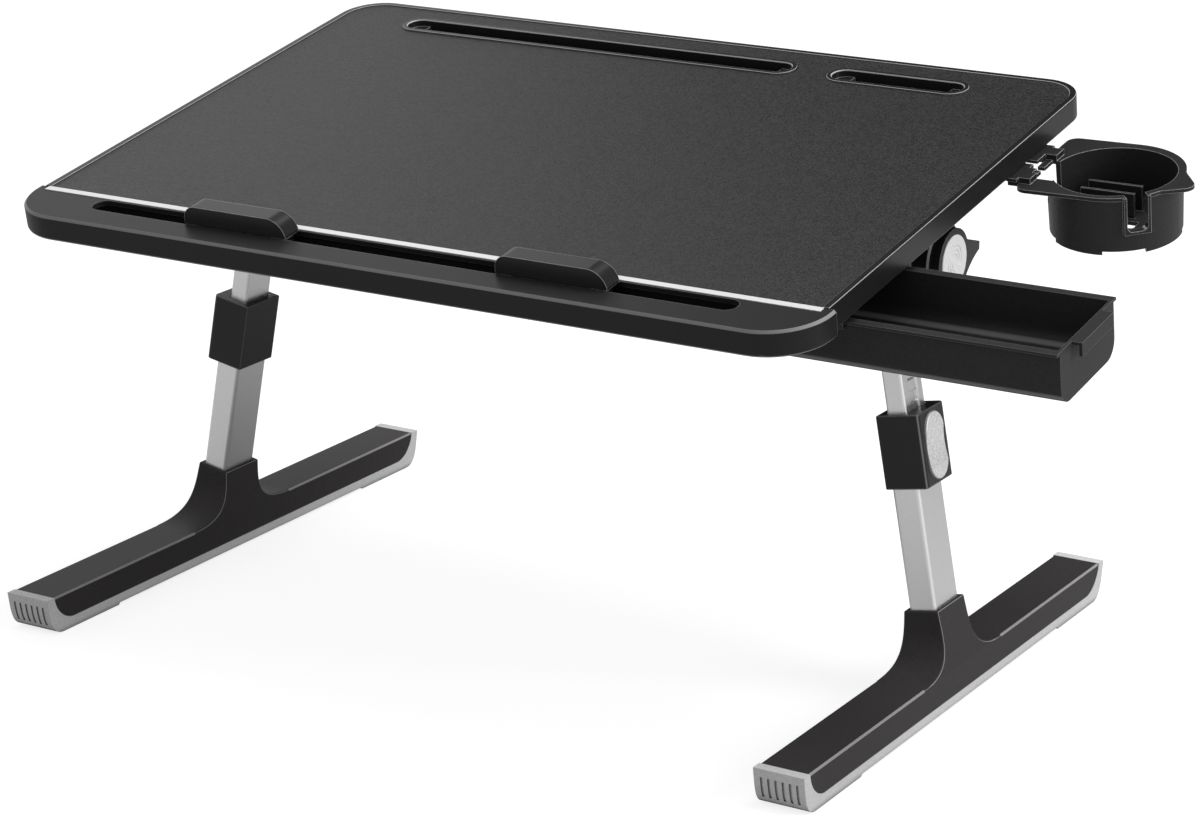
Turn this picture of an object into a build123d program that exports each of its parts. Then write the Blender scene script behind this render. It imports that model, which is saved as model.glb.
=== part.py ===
from build123d import *
from math import atan2, cos, degrees, radians, sin, tan
import os

os.makedirs("parts", exist_ok=True)

# Folding laptop table, in millimetres. X runs along its width, Y to the rear and Z up from the floor.
# X = 0 is the middle of the table top, and both legs stand in the plane Y = 0.

# Table top: v runs up its slope from the front edge, and depths are measured down from its surface
top_width = 600.0
top_side = top_width / 2
top_depth = 430.0
top_tilt = 10.0
board_bottom = 15.0
mat_thickness = 1.2
rear_corner_radius = 30.0
trim_wall = 5.0
trim_lip = 0.8
trim_bottom = 16.0
trim_edge_radius = 1.0

# Front strip with its slot, inlay and underside cover
strip_depth = 44.0
strip_overhang = 4.5
strip_corner_radius = 40.0
strip_skirt_bottom = 18.0
strip_skirt_wall = 6.0
strip_top_wall = 3.5
strip_bevel = 1.6
strip_lower_radius = 3.0
slot_length = top_width - 108.0
slot_width = 16.0
slot_v = 29.0
channel_side = 3.5
inlay_length = top_width - 7.0
inlay_width = 5.4
inlay_v = 41.2
inlay_groove = 0.8
inlay_proud = 0.4
cover_rear_v = 57.0
cover_end_gap = 8.0
cover_rib_height = 1.0
cover_rib_width = 1.6
cover_rib_pitch = 9.0
cover_ribs = 3
cover_screw_inset = 18.0

# Stoppers that slide in the front slot
stopper_length = 81.0
stopper_height = 12.8
stopper_side_gap = 0.5
stopper_left_radius = 9.0
stopper_right_radius = 12.8
stopper_left_x = -123.5
stopper_right_x = 118.5
stopper_foot_length = 70.0
stopper_foot_height = 3.0
stopper_foot_gap = 0.4

# Rear slots: middle and length of each rim
long_slot_x = -73.0
long_slot_length = 330.0
short_slot_x = 171.5
short_slot_length = 107.0
rear_slot_v = 394.2
rim_width = 25.6
rim_height = 1.2
throat_wall = 1.6
throat_width = 18.0
pocket_bottom = 36.0
pocket_width = 26.0
pocket_wall = 2.0
pocket_end_inset = 4.0
pocket_end_block = 12.0
throat_collar = 4.0

# Tilt hinge of each leg, whose drum turns on a line along X
hinge_v = 218.0
hinge_drop = 43.0
pivot_height = 297.5
plate_x = top_side - 53.0
plate_width = 78.0
plate_length = 90.0
plate_thickness = 4.5
plate_corner = 8.0
barrel_inner_x = top_side - 38.0
barrel_outer_x = top_side - 10.0
barrel_radius = 25.0
drum_radius = 20.0
drum_play = 0.08
neck_half = 20.0
gusset_thickness = 8.0
gusset_spread = 36.0
rib_spread = 27.0
rib_thickness = 3.0
rib_reach = 36.0
rib_height = 14.0
stub_radius = 8.0

# Lock ring, its lever and the white cap of the hinge
ring_gap = 0.3
ring_outer_x = top_side - 3.6
ring_radius = 21.8
ring_web = 2.5
cap_radius = 17.5
cap_gap = 0.3
cap_outer_x = top_side - 2.8
cap_groove_pitch = 3.6
cap_groove_width = 0.7
cap_groove_depth = 0.4
cap_grooves = 3
lever_start = 27.0
lever_inner_x = top_side - 17.0
lever_top = ((12.0, 14.5), (27.0, 8.0), (38.0, 5.5))
lever_under = ((38.0, 0.0), (24.5, -8.0), (16.5, -16.5))
lever_edge = 1.0

# Fold joint of each leg, whose bolt lies along Y
pivot_x = top_side - 53.5
cheek_inner = 14.3
cheek_outer = 19.0
cheek_radius = 13.0
tongue_radius = 12.0
tongue_gap = 0.3
bolt_radius = 4.0
bolt_play = 0.08
bolt_head_radius = 6.5
bolt_head_height = 4.5
bolt_socket = 5.0
knuckle_length = 36.5
knuckle_neck = 18.5
knuckle_half_x = 8.5
knuckle_half_y = 17.0
knuckle_radius = 2.0

# Leg tubes: heights are measured along the leg's own line from the floor
leg_splay = 10.5
outer_x = 19.5
outer_y = 34.5
outer_wall = 1.6
outer_radius = 2.5
outer_bottom = 22.0
inner_x = 14.1
inner_y = 29.0
inner_wall = 2.4
inner_radius = 2.0
inner_bottom = 100.0
inner_socket = 15.0
track_width = 12.0
track_depth = 0.8
notch_height = 8.0
notch_width = 10.6
notch_depth = 1.0
notch_pitch = 15.5
notches_above = 4
notches_below = 1
shoe_gap = 0.15
shoe_height = 6.0
shoe_plug = 8.0

# Collar with its latch
collar_bottom = 148.0
collar_top = 198.0
collar_x = 30.4
collar_y = 38.5
collar_offset = 2.5
collar_radius = 3.0
collar_tube_seat = 5.5
collar_bore_gap = 0.3
button_height = 45.0
button_width = 25.0
button_gap = 0.3
button_wall = 1.5
button_proud = 1.7
button_depth = 6.2
button_cavity = 3.2
button_dip = 1.4
button_dip_radius = 60.0
pawl_arm = 11.0
pawl_drop = 6.2
pawl_push = 2.0
pawl_slack = 1.5
window_wall = 2.5
pawl_width = 9.6
pawl_thickness = 1.6
pawl_face = 9.8
pawl_hub_radius = 2.2
pawl_pin_radius = 1.0
pawl_pin_play = 0.05
pawl_gap = 0.3
tooth_height = 7.4
spring_radius = 2.4
spring_wire = 0.6
spring_spread = 6.5
spring_rise = 14.0
spring_gap = 0.1
collar_floor = 9.1
pawl_window = 12.4

# Foot, its rubber sole and the leg socket
foot_width = 35.0
foot_height = 27.0
foot_half = 228.0
foot_inset = 6.2
foot_rearward = 2.7
foot_edge = 1.2
sole_height = 8.0
sole_proud = 0.2
sole_arch = 1.5
sole_lip = 8.0
cap_slope = 19.0
cap_belly = (6.0, 14.5)
bow_reach = 17.0
bow_lean = 0.2
pad_length = 60.0
end_groove_depth = 0.9
end_groove_width = 1.6
end_groove_low = 7.0
end_groove_high = 21.0
end_grooves = 6
socket_height = 65.5
socket_half_x = 12.65
socket_half_y = 19.7
socket_neck = 4.0
flare_half = 58.0
flare_knee = (24.0, 39.0)
foot_screw_inset = 42.0
foot_screw_head = 4.0
foot_screw_shank = 1.8
foot_screw_length = 14.0

# Drawer and its rails, at the right front of the underside
drawer_left_x = top_side - 72.0
drawer_length = 205.0
drawer_front_v = 77.0
drawer_rear_v = 156.0
drawer_rim = 22.0
drawer_bottom = 58.5
drawer_wall = 2.0
drawer_lower_radius = 12.0
drawer_flange = 4.0
drawer_flange_thickness = 1.8
drawer_travel = 140.0
handle_width = 46.0
handle_reach = 7.0
handle_drop = 9.0
handle_thickness = 2.2
rail_gap = 0.4
rail_web = 3.0
rail_lip = 1.6
rail_lip_reach = 3.2
rail_end_x = top_side - 6.0
rail_tab = 9.0
rail_tab_thickness = 2.5

# Cup holder and the guide that carries its arms
cup_x = top_side + 56.3
cup_v = 338.0
cup_radius = 41.0
cup_wall = 3.6
cup_draft = 1.5
flange_top = 20.3
flange_thickness = 2.5
flange_rim = 45.4
flange_rear_shift = 3.0
flange_edge_x = top_side + 5.0
flange_corner = 8.0
flange_front_v = 291.0
flange_rear_v = 384.5
cup_bottom = 61.0
cup_floor = 3.0
cup_foot_ring = 2.5
cup_foot_wall = 3.0
cup_notches = 4
cup_notch_width = 28.0
cup_notch_turn = 30.0
tab_reach = 49.5
tab_turn = -7.0
tab_radius = 8.0
tab_root_radius = 2.0
tab_root_turns = (-27.0, 20.0)
tab_hollow = 10.0
handle_slot_angle = -49.0
handle_slot_width = 14.0
handle_slot_depth = 24.0
handle_slot_corner = 4.0
handle_bead = 2.0
handle_bead_proud = 2.0
rib_top = 38.0
floor_rib_left = -28.0
floor_rib_length = 38.0
floor_rib_front_v = 8.0
floor_rib_rear_v = 21.5
floor_rib_thickness = 2.0
floor_window_x = 30.0
floor_window_v = 11.0
floor_window_bar = 6.0
arm_top = 16.3
arm_thickness = 2.2
arm_end_x = top_side - 155.0
front_arm_v = (297.0, 318.0)
rear_arm_v = (343.0, 358.0)
arm_slit_v = 327.0
arm_slit_width = 6.0
arm_notch_x = (top_side + 10.0, top_side + 24.0)
arm_notch_v = (311.0, 343.0)
arm_notch_bottom = 38.0
guide_left_x = top_side - 280.0
guide_right_x = top_side - 8.0
guide_rail = 13.6
guide_bottom = 20.0
guide_lip = 1.2
guide_lip_reach = 3.0
guide_clear = 0.3
guide_block = 16.0
guide_end_wall = 4.0
guide_rib_count = 3
guide_rib_width = 1.4
guide_rib_depth = 0.7
guide_screw_sink = 1.6
guide_screw_gap = 0.4

# Screws of the underside
screw_head_radius = 3.2
screw_head_height = 1.4
screw_shank_radius = 1.5
screw_grip = 6.0
screw_slot = 0.8


# Planes, axes and shared outlines

tilt = radians(top_tilt)
splay = radians(leg_splay)
slope = Vector(0, cos(tilt), sin(tilt))
normal = Vector(0, -sin(tilt), cos(tilt))
hinge_centre = Vector(0, 0, pivot_height)
top_corner = hinge_centre - slope * hinge_v + normal * hinge_drop
top_face = Plane(origin=top_corner, x_dir=(1, 0, 0), z_dir=normal)
upward = Axis(top_corner, normal)

leg_up = Vector(-sin(splay), 0, cos(splay))
leg_out = Vector(cos(splay), 0, sin(splay))
leg_foot_x = pivot_x + pivot_height * tan(splay)
pivot_along_leg = pivot_height / cos(splay)
knuckle_bottom = pivot_along_leg - knuckle_length
leg_base = Vector(leg_foot_x, 0, 0)
leg_line = Plane(origin=leg_base, x_dir=leg_out, z_dir=leg_up)
leg_side = Plane(origin=leg_base, x_dir=leg_out, z_dir=(0, -1, 0))
leg_axis = Axis(leg_base, leg_up)
out_axis = Axis(leg_base, leg_out)

collar_face = collar_offset + collar_x / 2
collar_middle = (collar_bottom + collar_top) / 2
inner_face = inner_x / 2


def below(depth):
    """Plane parallel to the table top, with X across and v up the slope."""
    return top_face.offset(-depth)


def across(x):
    """Plane square to X, with v and the height over the table top as its coordinates."""
    return Plane(origin=top_corner + Vector(x, 0, 0), x_dir=slope, z_dir=(1, 0, 0))


def along(v):
    """Plane square to the slope, with X and the height over the table top as its coordinates."""
    return Plane(origin=top_corner + slope * v, x_dir=(1, 0, 0), z_dir=slope * -1)


def leg_at(height):
    """Plane square to the leg, with its outboard direction and Y as coordinates."""
    return leg_line.offset(height)


def outboard(distance):
    """Plane facing out of the leg, with Y and the height along the leg as coordinates."""
    return Plane(origin=leg_base + leg_out * distance, x_dir=(0, 1, 0), z_dir=leg_out)


def save(piece, name):
    """Label one finished piece and write its file."""
    piece.part.label = name
    export_step(piece.part, f"parts/{name}.step")


def save_pair(right, name):
    """Write a piece of the right leg and its mirror image for the left leg."""
    save(right, f"{name}_right")
    with BuildPart() as left:
        mirror(right.part, about=Plane.YZ)
    save(left, f"{name}_left")


def rear_rounded(inset, front_v):
    """Outline of the table top, drawn in by inset, with its two rear corners rounded."""
    with BuildSketch() as outline:
        with Locations((0, front_v)):
            Rectangle(top_width - 2 * inset, top_depth - inset - front_v, align=(Align.CENTER, Align.MIN))
        fillet(outline.vertices().group_by(Axis.Y)[-1], rear_corner_radius - inset)
    return outline.sketch


def tube_outline(size_x, size_y, radius):
    """Rounded rectangle of one leg tube."""
    with BuildSketch() as outline:
        RectangleRounded(size_x, size_y, radius)
    return outline.sketch


rear_slots = {
    "long": (long_slot_x, long_slot_length),
    "short": (short_slot_x, short_slot_length),
}
throat_outer = throat_width + 2 * throat_wall


def rear_slot_cuts(width):
    """Both rear slots at one width, at the same distance inside their rims all round."""
    with BuildSketch() as cuts:
        for middle, length in rear_slots.values():
            with Locations((middle, rear_slot_v)):
                SlotOverall(length - (rim_width - width), width)
    return cuts.sketch


# Screw places on the underside, as (X, v)

hinge_screws = [
    (plate_x + side * (plate_width / 2 - plate_corner), hinge_v + end * (plate_length / 2 - plate_corner))
    for side in (-1, 1)
    for end in (-1, 1)
]
cover_rear_screw_v = (strip_depth + cover_rear_v) / 2
cover_screws = [(step * (top_side - cover_screw_inset) / 2, cover_rear_screw_v) for step in (-2, -1, 0, 1, 2)]
pocket_screws = [
    (middle + end * (length / 2 - pocket_end_inset - pocket_end_block / 2), rear_slot_v)
    for middle, length in rear_slots.values()
    for end in (-1, 1)
]
rail_tab_v = rail_tab / 2
rail_front_v = drawer_front_v - drawer_flange - rail_gap - rail_web
rail_rear_v = drawer_rear_v + drawer_flange + rail_gap + rail_web
rail_left_x = drawer_left_x - drawer_travel - rail_tab
rail_screws = [
    (x, v)
    for x in (rail_left_x + rail_tab_v, rail_end_x - rail_tab_v)
    for v in (rail_front_v - rail_tab_v, rail_rear_v + rail_tab_v)
]
guide_front_v = front_arm_v[0] - guide_clear - guide_rail
guide_rear_v = rear_arm_v[1] + guide_clear + guide_rail
guide_screws = [
    (x, v)
    for x in (guide_left_x + guide_block / 2, guide_right_x - guide_block / 2)
    for v in (guide_front_v + guide_rail / 3, guide_rear_v - guide_rail / 3)
]


def screw_group(places, seat, grip=screw_grip):
    """Pan-head screws driven up past the underside of the board, their heads on a face at depth seat."""
    with BuildPart() as screws:
        with BuildSketch(below(seat)):
            with Locations(*places):
                Circle(screw_head_radius)
        extrude(amount=-screw_head_height)
        fillet(screws.edges().group_by(upward)[0], screw_head_height / 2)
        with BuildSketch(below(seat)):
            with Locations(*places):
                Circle(screw_shank_radius)
        extrude(amount=seat - board_bottom + grip)
        for turn in (0, 90):
            with BuildSketch(below(seat + screw_head_height)):
                with Locations(*places):
                    Rectangle(screw_head_radius, screw_slot, rotation=turn)
            extrude(amount=screw_head_height / 2, mode=Mode.SUBTRACT)
    return screws


# Table board with its pilot holes and the two rear slots

all_screws = cover_screws + rail_screws + guide_screws
all_screws += hinge_screws + [(-x, v) for x, v in hinge_screws]

with BuildPart() as table_board:
    with BuildSketch(below(board_bottom)):
        add(rear_rounded(trim_wall, strip_depth))
        add(rear_slot_cuts(throat_outer), mode=Mode.SUBTRACT)
    extrude(amount=board_bottom - mat_thickness)
    with BuildSketch(below(board_bottom)):
        with Locations(*all_screws):
            Circle(screw_shank_radius)
    extrude(amount=screw_grip, mode=Mode.SUBTRACT)
save(table_board, "table_board")

# Leather-grained mat on the board

with BuildPart() as leather_mat:
    with BuildSketch(below(mat_thickness)):
        add(rear_rounded(trim_wall, strip_depth))
        add(rear_slot_cuts(throat_outer), mode=Mode.SUBTRACT)
    extrude(amount=mat_thickness)
save(leather_mat, "leather_mat")

# Edge trim round the left, rear and right sides, with its lip raised over the mat

with BuildPart() as edge_trim:
    with BuildSketch(below(trim_bottom)):
        add(rear_rounded(0, strip_depth))
        add(rear_rounded(trim_wall, strip_depth), mode=Mode.SUBTRACT)
    extrude(amount=trim_bottom + trim_lip)
    rim_edges = edge_trim.edges().group_by(upward)[-1] + edge_trim.edges().group_by(upward)[0]
    fillet(rim_edges.filter_by(lambda edge: edge.length > trim_wall + 1), trim_edge_radius)
save(edge_trim, "edge_trim")

# Front strip: a moulded rail with a slot in its top and a channel under it for the stoppers' feet

strip_half = top_width / 2 + strip_overhang
channel_width = slot_width + 2 * channel_side
channel_length = slot_length + 2 * channel_side
strip_bottom = board_bottom

with BuildPart() as front_strip:
    with BuildSketch(below(strip_skirt_bottom)) as strip_outline:
        Rectangle(2 * strip_half, strip_depth, align=(Align.CENTER, Align.MIN))
        fillet(strip_outline.vertices().group_by(Axis.Y)[0], strip_corner_radius)
    extrude(amount=strip_skirt_bottom)
    front_only = front_strip.edges().filter_by(
        lambda edge: (edge.center() - top_corner).dot(slope) < strip_depth - 1
    )
    chamfer(front_only.group_by(upward)[-1], strip_bevel)
    front_only = front_strip.edges().filter_by(
        lambda edge: (edge.center() - top_corner).dot(slope) < strip_depth - 1
    )
    fillet(front_only.group_by(upward)[0], strip_lower_radius)
    with BuildSketch(below(strip_skirt_bottom)) as underside_cut:
        with Locations((0, strip_skirt_wall)):
            Rectangle(
                2 * (strip_half - strip_skirt_wall),
                strip_depth,
                align=(Align.CENTER, Align.MIN),
            )
        fillet(underside_cut.vertices().group_by(Axis.Y)[0], strip_corner_radius - strip_skirt_wall)
    extrude(amount=strip_skirt_bottom - strip_bottom, mode=Mode.SUBTRACT)
    with BuildSketch(below(strip_bottom)):
        with Locations((0, slot_v)):
            SlotOverall(channel_length, channel_width)
    extrude(amount=strip_bottom - strip_top_wall, mode=Mode.SUBTRACT)
    with BuildSketch(below(strip_bottom)):
        with Locations((0, slot_v)):
            SlotOverall(slot_length, slot_width)
    extrude(amount=strip_bottom, mode=Mode.SUBTRACT)
    with BuildSketch(below(inlay_groove)):
        with Locations((0, inlay_v)):
            Rectangle(inlay_length, inlay_width)
    extrude(amount=inlay_groove, mode=Mode.SUBTRACT)
save(front_strip, "front_strip")

with BuildPart() as inlay_strip:
    with BuildSketch(below(inlay_groove)):
        with Locations((0, inlay_v)):
            Rectangle(inlay_length, inlay_width)
    extrude(amount=inlay_groove + inlay_proud)
save(inlay_strip, "inlay_strip")

# Cover that closes the channel from below and laps under the board

cover_half = strip_half - strip_skirt_wall - cover_end_gap

with BuildPart() as channel_cover:
    with BuildSketch(below(strip_skirt_bottom)) as cover_outline:
        with Locations((0, strip_skirt_wall + stopper_side_gap)):
            Rectangle(
                2 * cover_half,
                cover_rear_v - strip_skirt_wall - stopper_side_gap,
                align=(Align.CENTER, Align.MIN),
            )
        fillet(cover_outline.vertices().group_by(Axis.Y)[0], strip_corner_radius - strip_skirt_wall)
    extrude(amount=strip_skirt_bottom - strip_bottom)
    with BuildSketch(below(strip_skirt_bottom + cover_rib_height)):
        for rib in range(cover_ribs):
            with Locations((0, slot_v - (rib - 1) * cover_rib_pitch)):
                Rectangle(channel_length, cover_rib_width)
    extrude(amount=cover_rib_height)
    with BuildSketch(below(strip_skirt_bottom)):
        with Locations(*cover_screws):
            Circle(screw_shank_radius)
    extrude(amount=strip_skirt_bottom - strip_bottom, mode=Mode.SUBTRACT)
save(channel_cover, "channel_cover")
save(screw_group(cover_screws, strip_skirt_bottom), "cover_screws")

# Stoppers: a loaf-shaped block over the slot, a neck through it and a foot in the channel


def stopper(middle):
    """Sliding stopper whose block stands centred on X = middle."""
    left = middle - stopper_length / 2
    right = middle + stopper_length / 2
    depth = slot_width - 2 * stopper_side_gap
    with BuildPart() as block:
        with BuildSketch(along(slot_v + depth / 2)):
            with BuildLine():
                Line((left, 0), (right, 0))
                Line((right, 0), (right, stopper_height - stopper_right_radius + 2))
                RadiusArc(
                    (right, stopper_height - stopper_right_radius + 2),
                    (right - stopper_right_radius, stopper_height),
                    -stopper_right_radius - 2,
                )
                Line(
                    (right - stopper_right_radius, stopper_height),
                    (left + stopper_left_radius, stopper_height),
                )
                RadiusArc(
                    (left + stopper_left_radius, stopper_height),
                    (left, stopper_height - stopper_left_radius),
                    -stopper_left_radius,
                )
                Line((left, stopper_height - stopper_left_radius), (left, 0))
            make_face()
        extrude(amount=depth)
        with BuildSketch(below(strip_top_wall + stopper_foot_gap)):
            with Locations((middle, slot_v)):
                SlotOverall(stopper_foot_length, depth)
        extrude(amount=strip_top_wall + stopper_foot_gap)
        with BuildSketch(below(strip_top_wall + stopper_foot_gap + stopper_foot_height)):
            with Locations((middle, slot_v)):
                RectangleRounded(stopper_foot_length, channel_width - 2 * stopper_side_gap, channel_side)
        extrude(amount=stopper_foot_height)
    return block


save(stopper(stopper_left_x), "stopper_left")
save(stopper(stopper_right_x), "stopper_right")

# Rear slots: a raised rim with a throat through the board, and a pocket screwed on below

for slot_name, (middle, length) in rear_slots.items():
    with BuildPart() as slot_rim:
        with BuildSketch(top_face):
            with Locations((middle, rear_slot_v)):
                SlotOverall(length, rim_width)
        extrude(amount=rim_height)
        fillet(slot_rim.edges().group_by(upward)[-1], rim_height * 0.7)
        with BuildSketch(below(board_bottom)):
            with Locations((middle, rear_slot_v)):
                SlotOverall(length - (rim_width - throat_outer), throat_outer)
        extrude(amount=board_bottom)
        with BuildSketch(below(throat_collar)):
            with Locations((middle, rear_slot_v)):
                SlotOverall(length - (rim_width - throat_width), throat_width)
        extrude(amount=throat_collar + rim_height, mode=Mode.SUBTRACT)
        chamfer(slot_rim.edges().group_by(upward)[-1], rim_height * 0.5)
        with BuildSketch(below(board_bottom)):
            with Locations((middle, rear_slot_v)):
                Rectangle(length - 2 * (pocket_end_inset + pocket_end_block), throat_width)
        extrude(amount=board_bottom, mode=Mode.SUBTRACT)
        with BuildSketch(below(board_bottom)):
            with Locations(*[place for place in pocket_screws if abs(place[0] - middle) < length / 2]):
                Circle(screw_shank_radius)
        extrude(amount=screw_grip, mode=Mode.SUBTRACT)
    save(slot_rim, f"{slot_name}_slot_rim")

    pocket_length = length - 2 * pocket_end_inset
    with BuildPart() as slot_pocket:
        with BuildSketch(below(pocket_bottom)):
            with Locations((middle, rear_slot_v)):
                SlotOverall(pocket_length, pocket_width)
        extrude(amount=pocket_bottom - board_bottom)
        fillet(slot_pocket.edges().group_by(upward)[0], pocket_wall / 2)
        with BuildSketch(below(pocket_bottom - pocket_wall)):
            with Locations((middle, rear_slot_v)):
                Rectangle(pocket_length - 2 * pocket_end_block, pocket_width - 2 * pocket_wall)
        extrude(amount=pocket_bottom - pocket_wall - board_bottom, mode=Mode.SUBTRACT)
        with BuildSketch(below(pocket_bottom)):
            with Locations(*[place for place in pocket_screws if abs(place[0] - middle) < length / 2]):
                Circle(screw_shank_radius)
        extrude(amount=pocket_bottom - board_bottom, mode=Mode.SUBTRACT)
    save(slot_pocket, f"{slot_name}_slot_pocket")

save(screw_group(pocket_screws, pocket_bottom), "pocket_screws")

# Hinge housing: a base plate under the board, a neck and gusset, and the barrel that holds the drum

plate_bottom = board_bottom + plate_thickness
neck_start = barrel_inner_x + 2
neck_length = barrel_outer_x - neck_start - 2
gusset_low = hinge_drop - 5
gusset_half = (barrel_radius**2 - 5**2) ** 0.5

with BuildPart() as hinge_housing:
    with BuildSketch(below(plate_bottom)):
        with Locations((plate_x, hinge_v)):
            RectangleRounded(plate_width, plate_length, plate_corner)
    extrude(amount=plate_thickness)
    with BuildSketch(Plane.YZ.offset(barrel_inner_x)):
        with Locations((0, pivot_height)):
            Circle(barrel_radius)
    extrude(amount=barrel_outer_x - barrel_inner_x)
    chamfer(hinge_housing.edges().filter_by(GeomType.CIRCLE).group_by(Axis.X)[-1], 1.2)
    with BuildSketch(across(neck_start)):
        with Locations((hinge_v, -(plate_bottom + hinge_drop) / 2)):
            Rectangle(2 * neck_half, hinge_drop - plate_bottom)
    extrude(amount=neck_length)
    with BuildSketch(across(neck_start)):
        with BuildLine():
            foot_rear = (hinge_v + gusset_spread, -plate_bottom)
            foot_front = (hinge_v - gusset_spread, -plate_bottom)
            Line(foot_front, foot_rear)
            bend = (gusset_half + 3, -plate_bottom - 6.5)
            ThreePointArc(foot_rear, (hinge_v + bend[0], bend[1]), (hinge_v + gusset_half, -gusset_low))
            Line((hinge_v + gusset_half, -gusset_low), (hinge_v - gusset_half, -gusset_low))
            ThreePointArc((hinge_v - gusset_half, -gusset_low), (hinge_v - bend[0], bend[1]), foot_front)
        make_face()
    extrude(amount=gusset_thickness)
    for rib_v in (hinge_v + rib_spread + rib_thickness, hinge_v - rib_spread):
        with BuildSketch(along(rib_v)):
            with BuildLine():
                Polyline(
                    (neck_start, -plate_bottom),
                    (neck_start, -plate_bottom - rib_height),
                    (neck_start - rib_reach, -plate_bottom),
                    close=True,
                )
            make_face()
        extrude(amount=rib_thickness)
    with BuildSketch(Plane.YZ.offset(barrel_inner_x)):
        with Locations((0, pivot_height)):
            Circle(drum_radius)
    extrude(amount=barrel_outer_x - barrel_inner_x, mode=Mode.SUBTRACT)
    with BuildSketch(below(plate_bottom)):
        with Locations(*hinge_screws):
            Circle(screw_shank_radius)
    extrude(amount=plate_thickness, mode=Mode.SUBTRACT)
save_pair(hinge_housing, "hinge_housing")
save_pair(screw_group(hinge_screws, plate_bottom), "hinge_screws")

# Tilt fork: the drum that turns in the barrel, with two cheeks that hold the fold bolt

drum_inner_x = pivot_x + cheek_radius + 0.1
cheek_end_x = barrel_inner_x - 0.6
ring_inner_x = barrel_outer_x + ring_gap
cap_inner_x = ring_inner_x + ring_web + ring_gap
shank_radius = bolt_radius - bolt_play

with BuildPart() as tilt_fork:
    with BuildSketch(Plane.YZ.offset(drum_inner_x)):
        with Locations((0, pivot_height)):
            Circle(drum_radius - drum_play)
    extrude(amount=barrel_outer_x - drum_inner_x)
    with BuildSketch(Plane.YZ.offset(barrel_outer_x)):
        with Locations((0, pivot_height)):
            Circle(stub_radius)
    extrude(amount=cap_inner_x - barrel_outer_x)
    for cheek_y in (cheek_inner, -cheek_outer):
        with BuildSketch(Plane.XZ.offset(-cheek_y)):
            with Locations((pivot_x, pivot_height)):
                Circle(cheek_radius)
                Rectangle(cheek_end_x - pivot_x, 2 * cheek_radius, align=(Align.MIN, Align.CENTER))
        extrude(amount=cheek_inner - cheek_outer)
    with BuildSketch(Plane.XZ):
        with Locations((pivot_x, pivot_height)):
            Circle(bolt_radius)
    extrude(amount=2 * cheek_outer, both=True, mode=Mode.SUBTRACT)
save_pair(tilt_fork, "tilt_fork")

with BuildPart() as hinge_cap:
    with BuildSketch(Plane.YZ.offset(cap_inner_x)):
        with Locations((0, pivot_height)):
            Circle(cap_radius)
    extrude(amount=cap_outer_x - cap_inner_x)
    chamfer(hinge_cap.edges().group_by(Axis.X)[-1], 0.6)
    for ring in range(1, cap_grooves + 1):
        with BuildSketch(Plane.YZ.offset(cap_outer_x)):
            with Locations((0, pivot_height)):
                Circle(ring * cap_groove_pitch + cap_groove_width)
                Circle(ring * cap_groove_pitch, mode=Mode.SUBTRACT)
        extrude(amount=-cap_groove_depth, mode=Mode.SUBTRACT)
save_pair(hinge_cap, "hinge_cap")

with BuildPart() as lock_ring:
    with BuildSketch(Plane.YZ.offset(ring_inner_x)):
        with Locations((0, pivot_height)):
            Circle(ring_radius)
    extrude(amount=ring_outer_x - ring_inner_x)
    with BuildSketch(Plane(origin=(lever_inner_x, 0, pivot_height), x_dir=(0, 1, 0), z_dir=(1, 0, 0))):
        with BuildLine():
            ThreePointArc(*lever_top)
            Line(lever_top[2], lever_under[0])
            ThreePointArc(*lever_under)
            Polyline(lever_under[2], (0, 0), lever_top[0])
        make_face()
    extrude(amount=ring_outer_x - lever_inner_x)
    lever_tip = lock_ring.edges().filter_by(Axis.X).group_by(Axis.Y)[-1]
    fillet(lever_tip, lever_edge)
    with BuildSketch(Plane.YZ.offset(lever_inner_x)):
        with Locations((0, pivot_height)):
            Circle(lever_start)
    extrude(amount=ring_inner_x - lever_inner_x, mode=Mode.SUBTRACT)
    with BuildSketch(Plane.YZ.offset(ring_inner_x + ring_web)):
        with Locations((0, pivot_height)):
            Circle(cap_radius + cap_gap)
    extrude(amount=ring_outer_x - ring_inner_x, mode=Mode.SUBTRACT)
    with BuildSketch(Plane.YZ.offset(ring_inner_x)):
        with Locations((0, pivot_height)):
            Circle(stub_radius + drum_play)
    extrude(amount=ring_web, mode=Mode.SUBTRACT)
save_pair(lock_ring, "lock_ring")

# Fold bolt with a hexagon socket in its head, and its nut

with BuildPart() as fold_bolt:
    with BuildSketch(Plane.XZ.offset(-cheek_outer)):
        with Locations((pivot_x, pivot_height)):
            Circle(bolt_head_radius)
    extrude(amount=-bolt_head_height)
    chamfer(fold_bolt.edges().group_by(Axis.Y)[-1], 0.6)
    with BuildSketch(Plane.XZ.offset(-cheek_outer - bolt_head_height)):
        with Locations((pivot_x, pivot_height)):
            RegularPolygon(bolt_socket / 2, 6, major_radius=False)
    extrude(amount=bolt_head_height / 2, mode=Mode.SUBTRACT)
    with BuildSketch(Plane.XZ.offset(-cheek_outer)):
        with Locations((pivot_x, pivot_height)):
            Circle(shank_radius)
    extrude(amount=2 * cheek_outer + bolt_head_height)
save_pair(fold_bolt, "fold_bolt")

with BuildPart() as fold_nut:
    with BuildSketch(Plane.XZ.offset(cheek_outer)):
        with Locations((pivot_x, pivot_height)):
            RegularPolygon(bolt_head_radius, 6, major_radius=False)
            Circle(shank_radius, mode=Mode.SUBTRACT)
    extrude(amount=bolt_head_height)
save_pair(fold_nut, "fold_nut")

# Knuckle: the tongue between the cheeks and the socket of the inner tube

knuckle_top = pivot_along_leg - knuckle_neck

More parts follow.
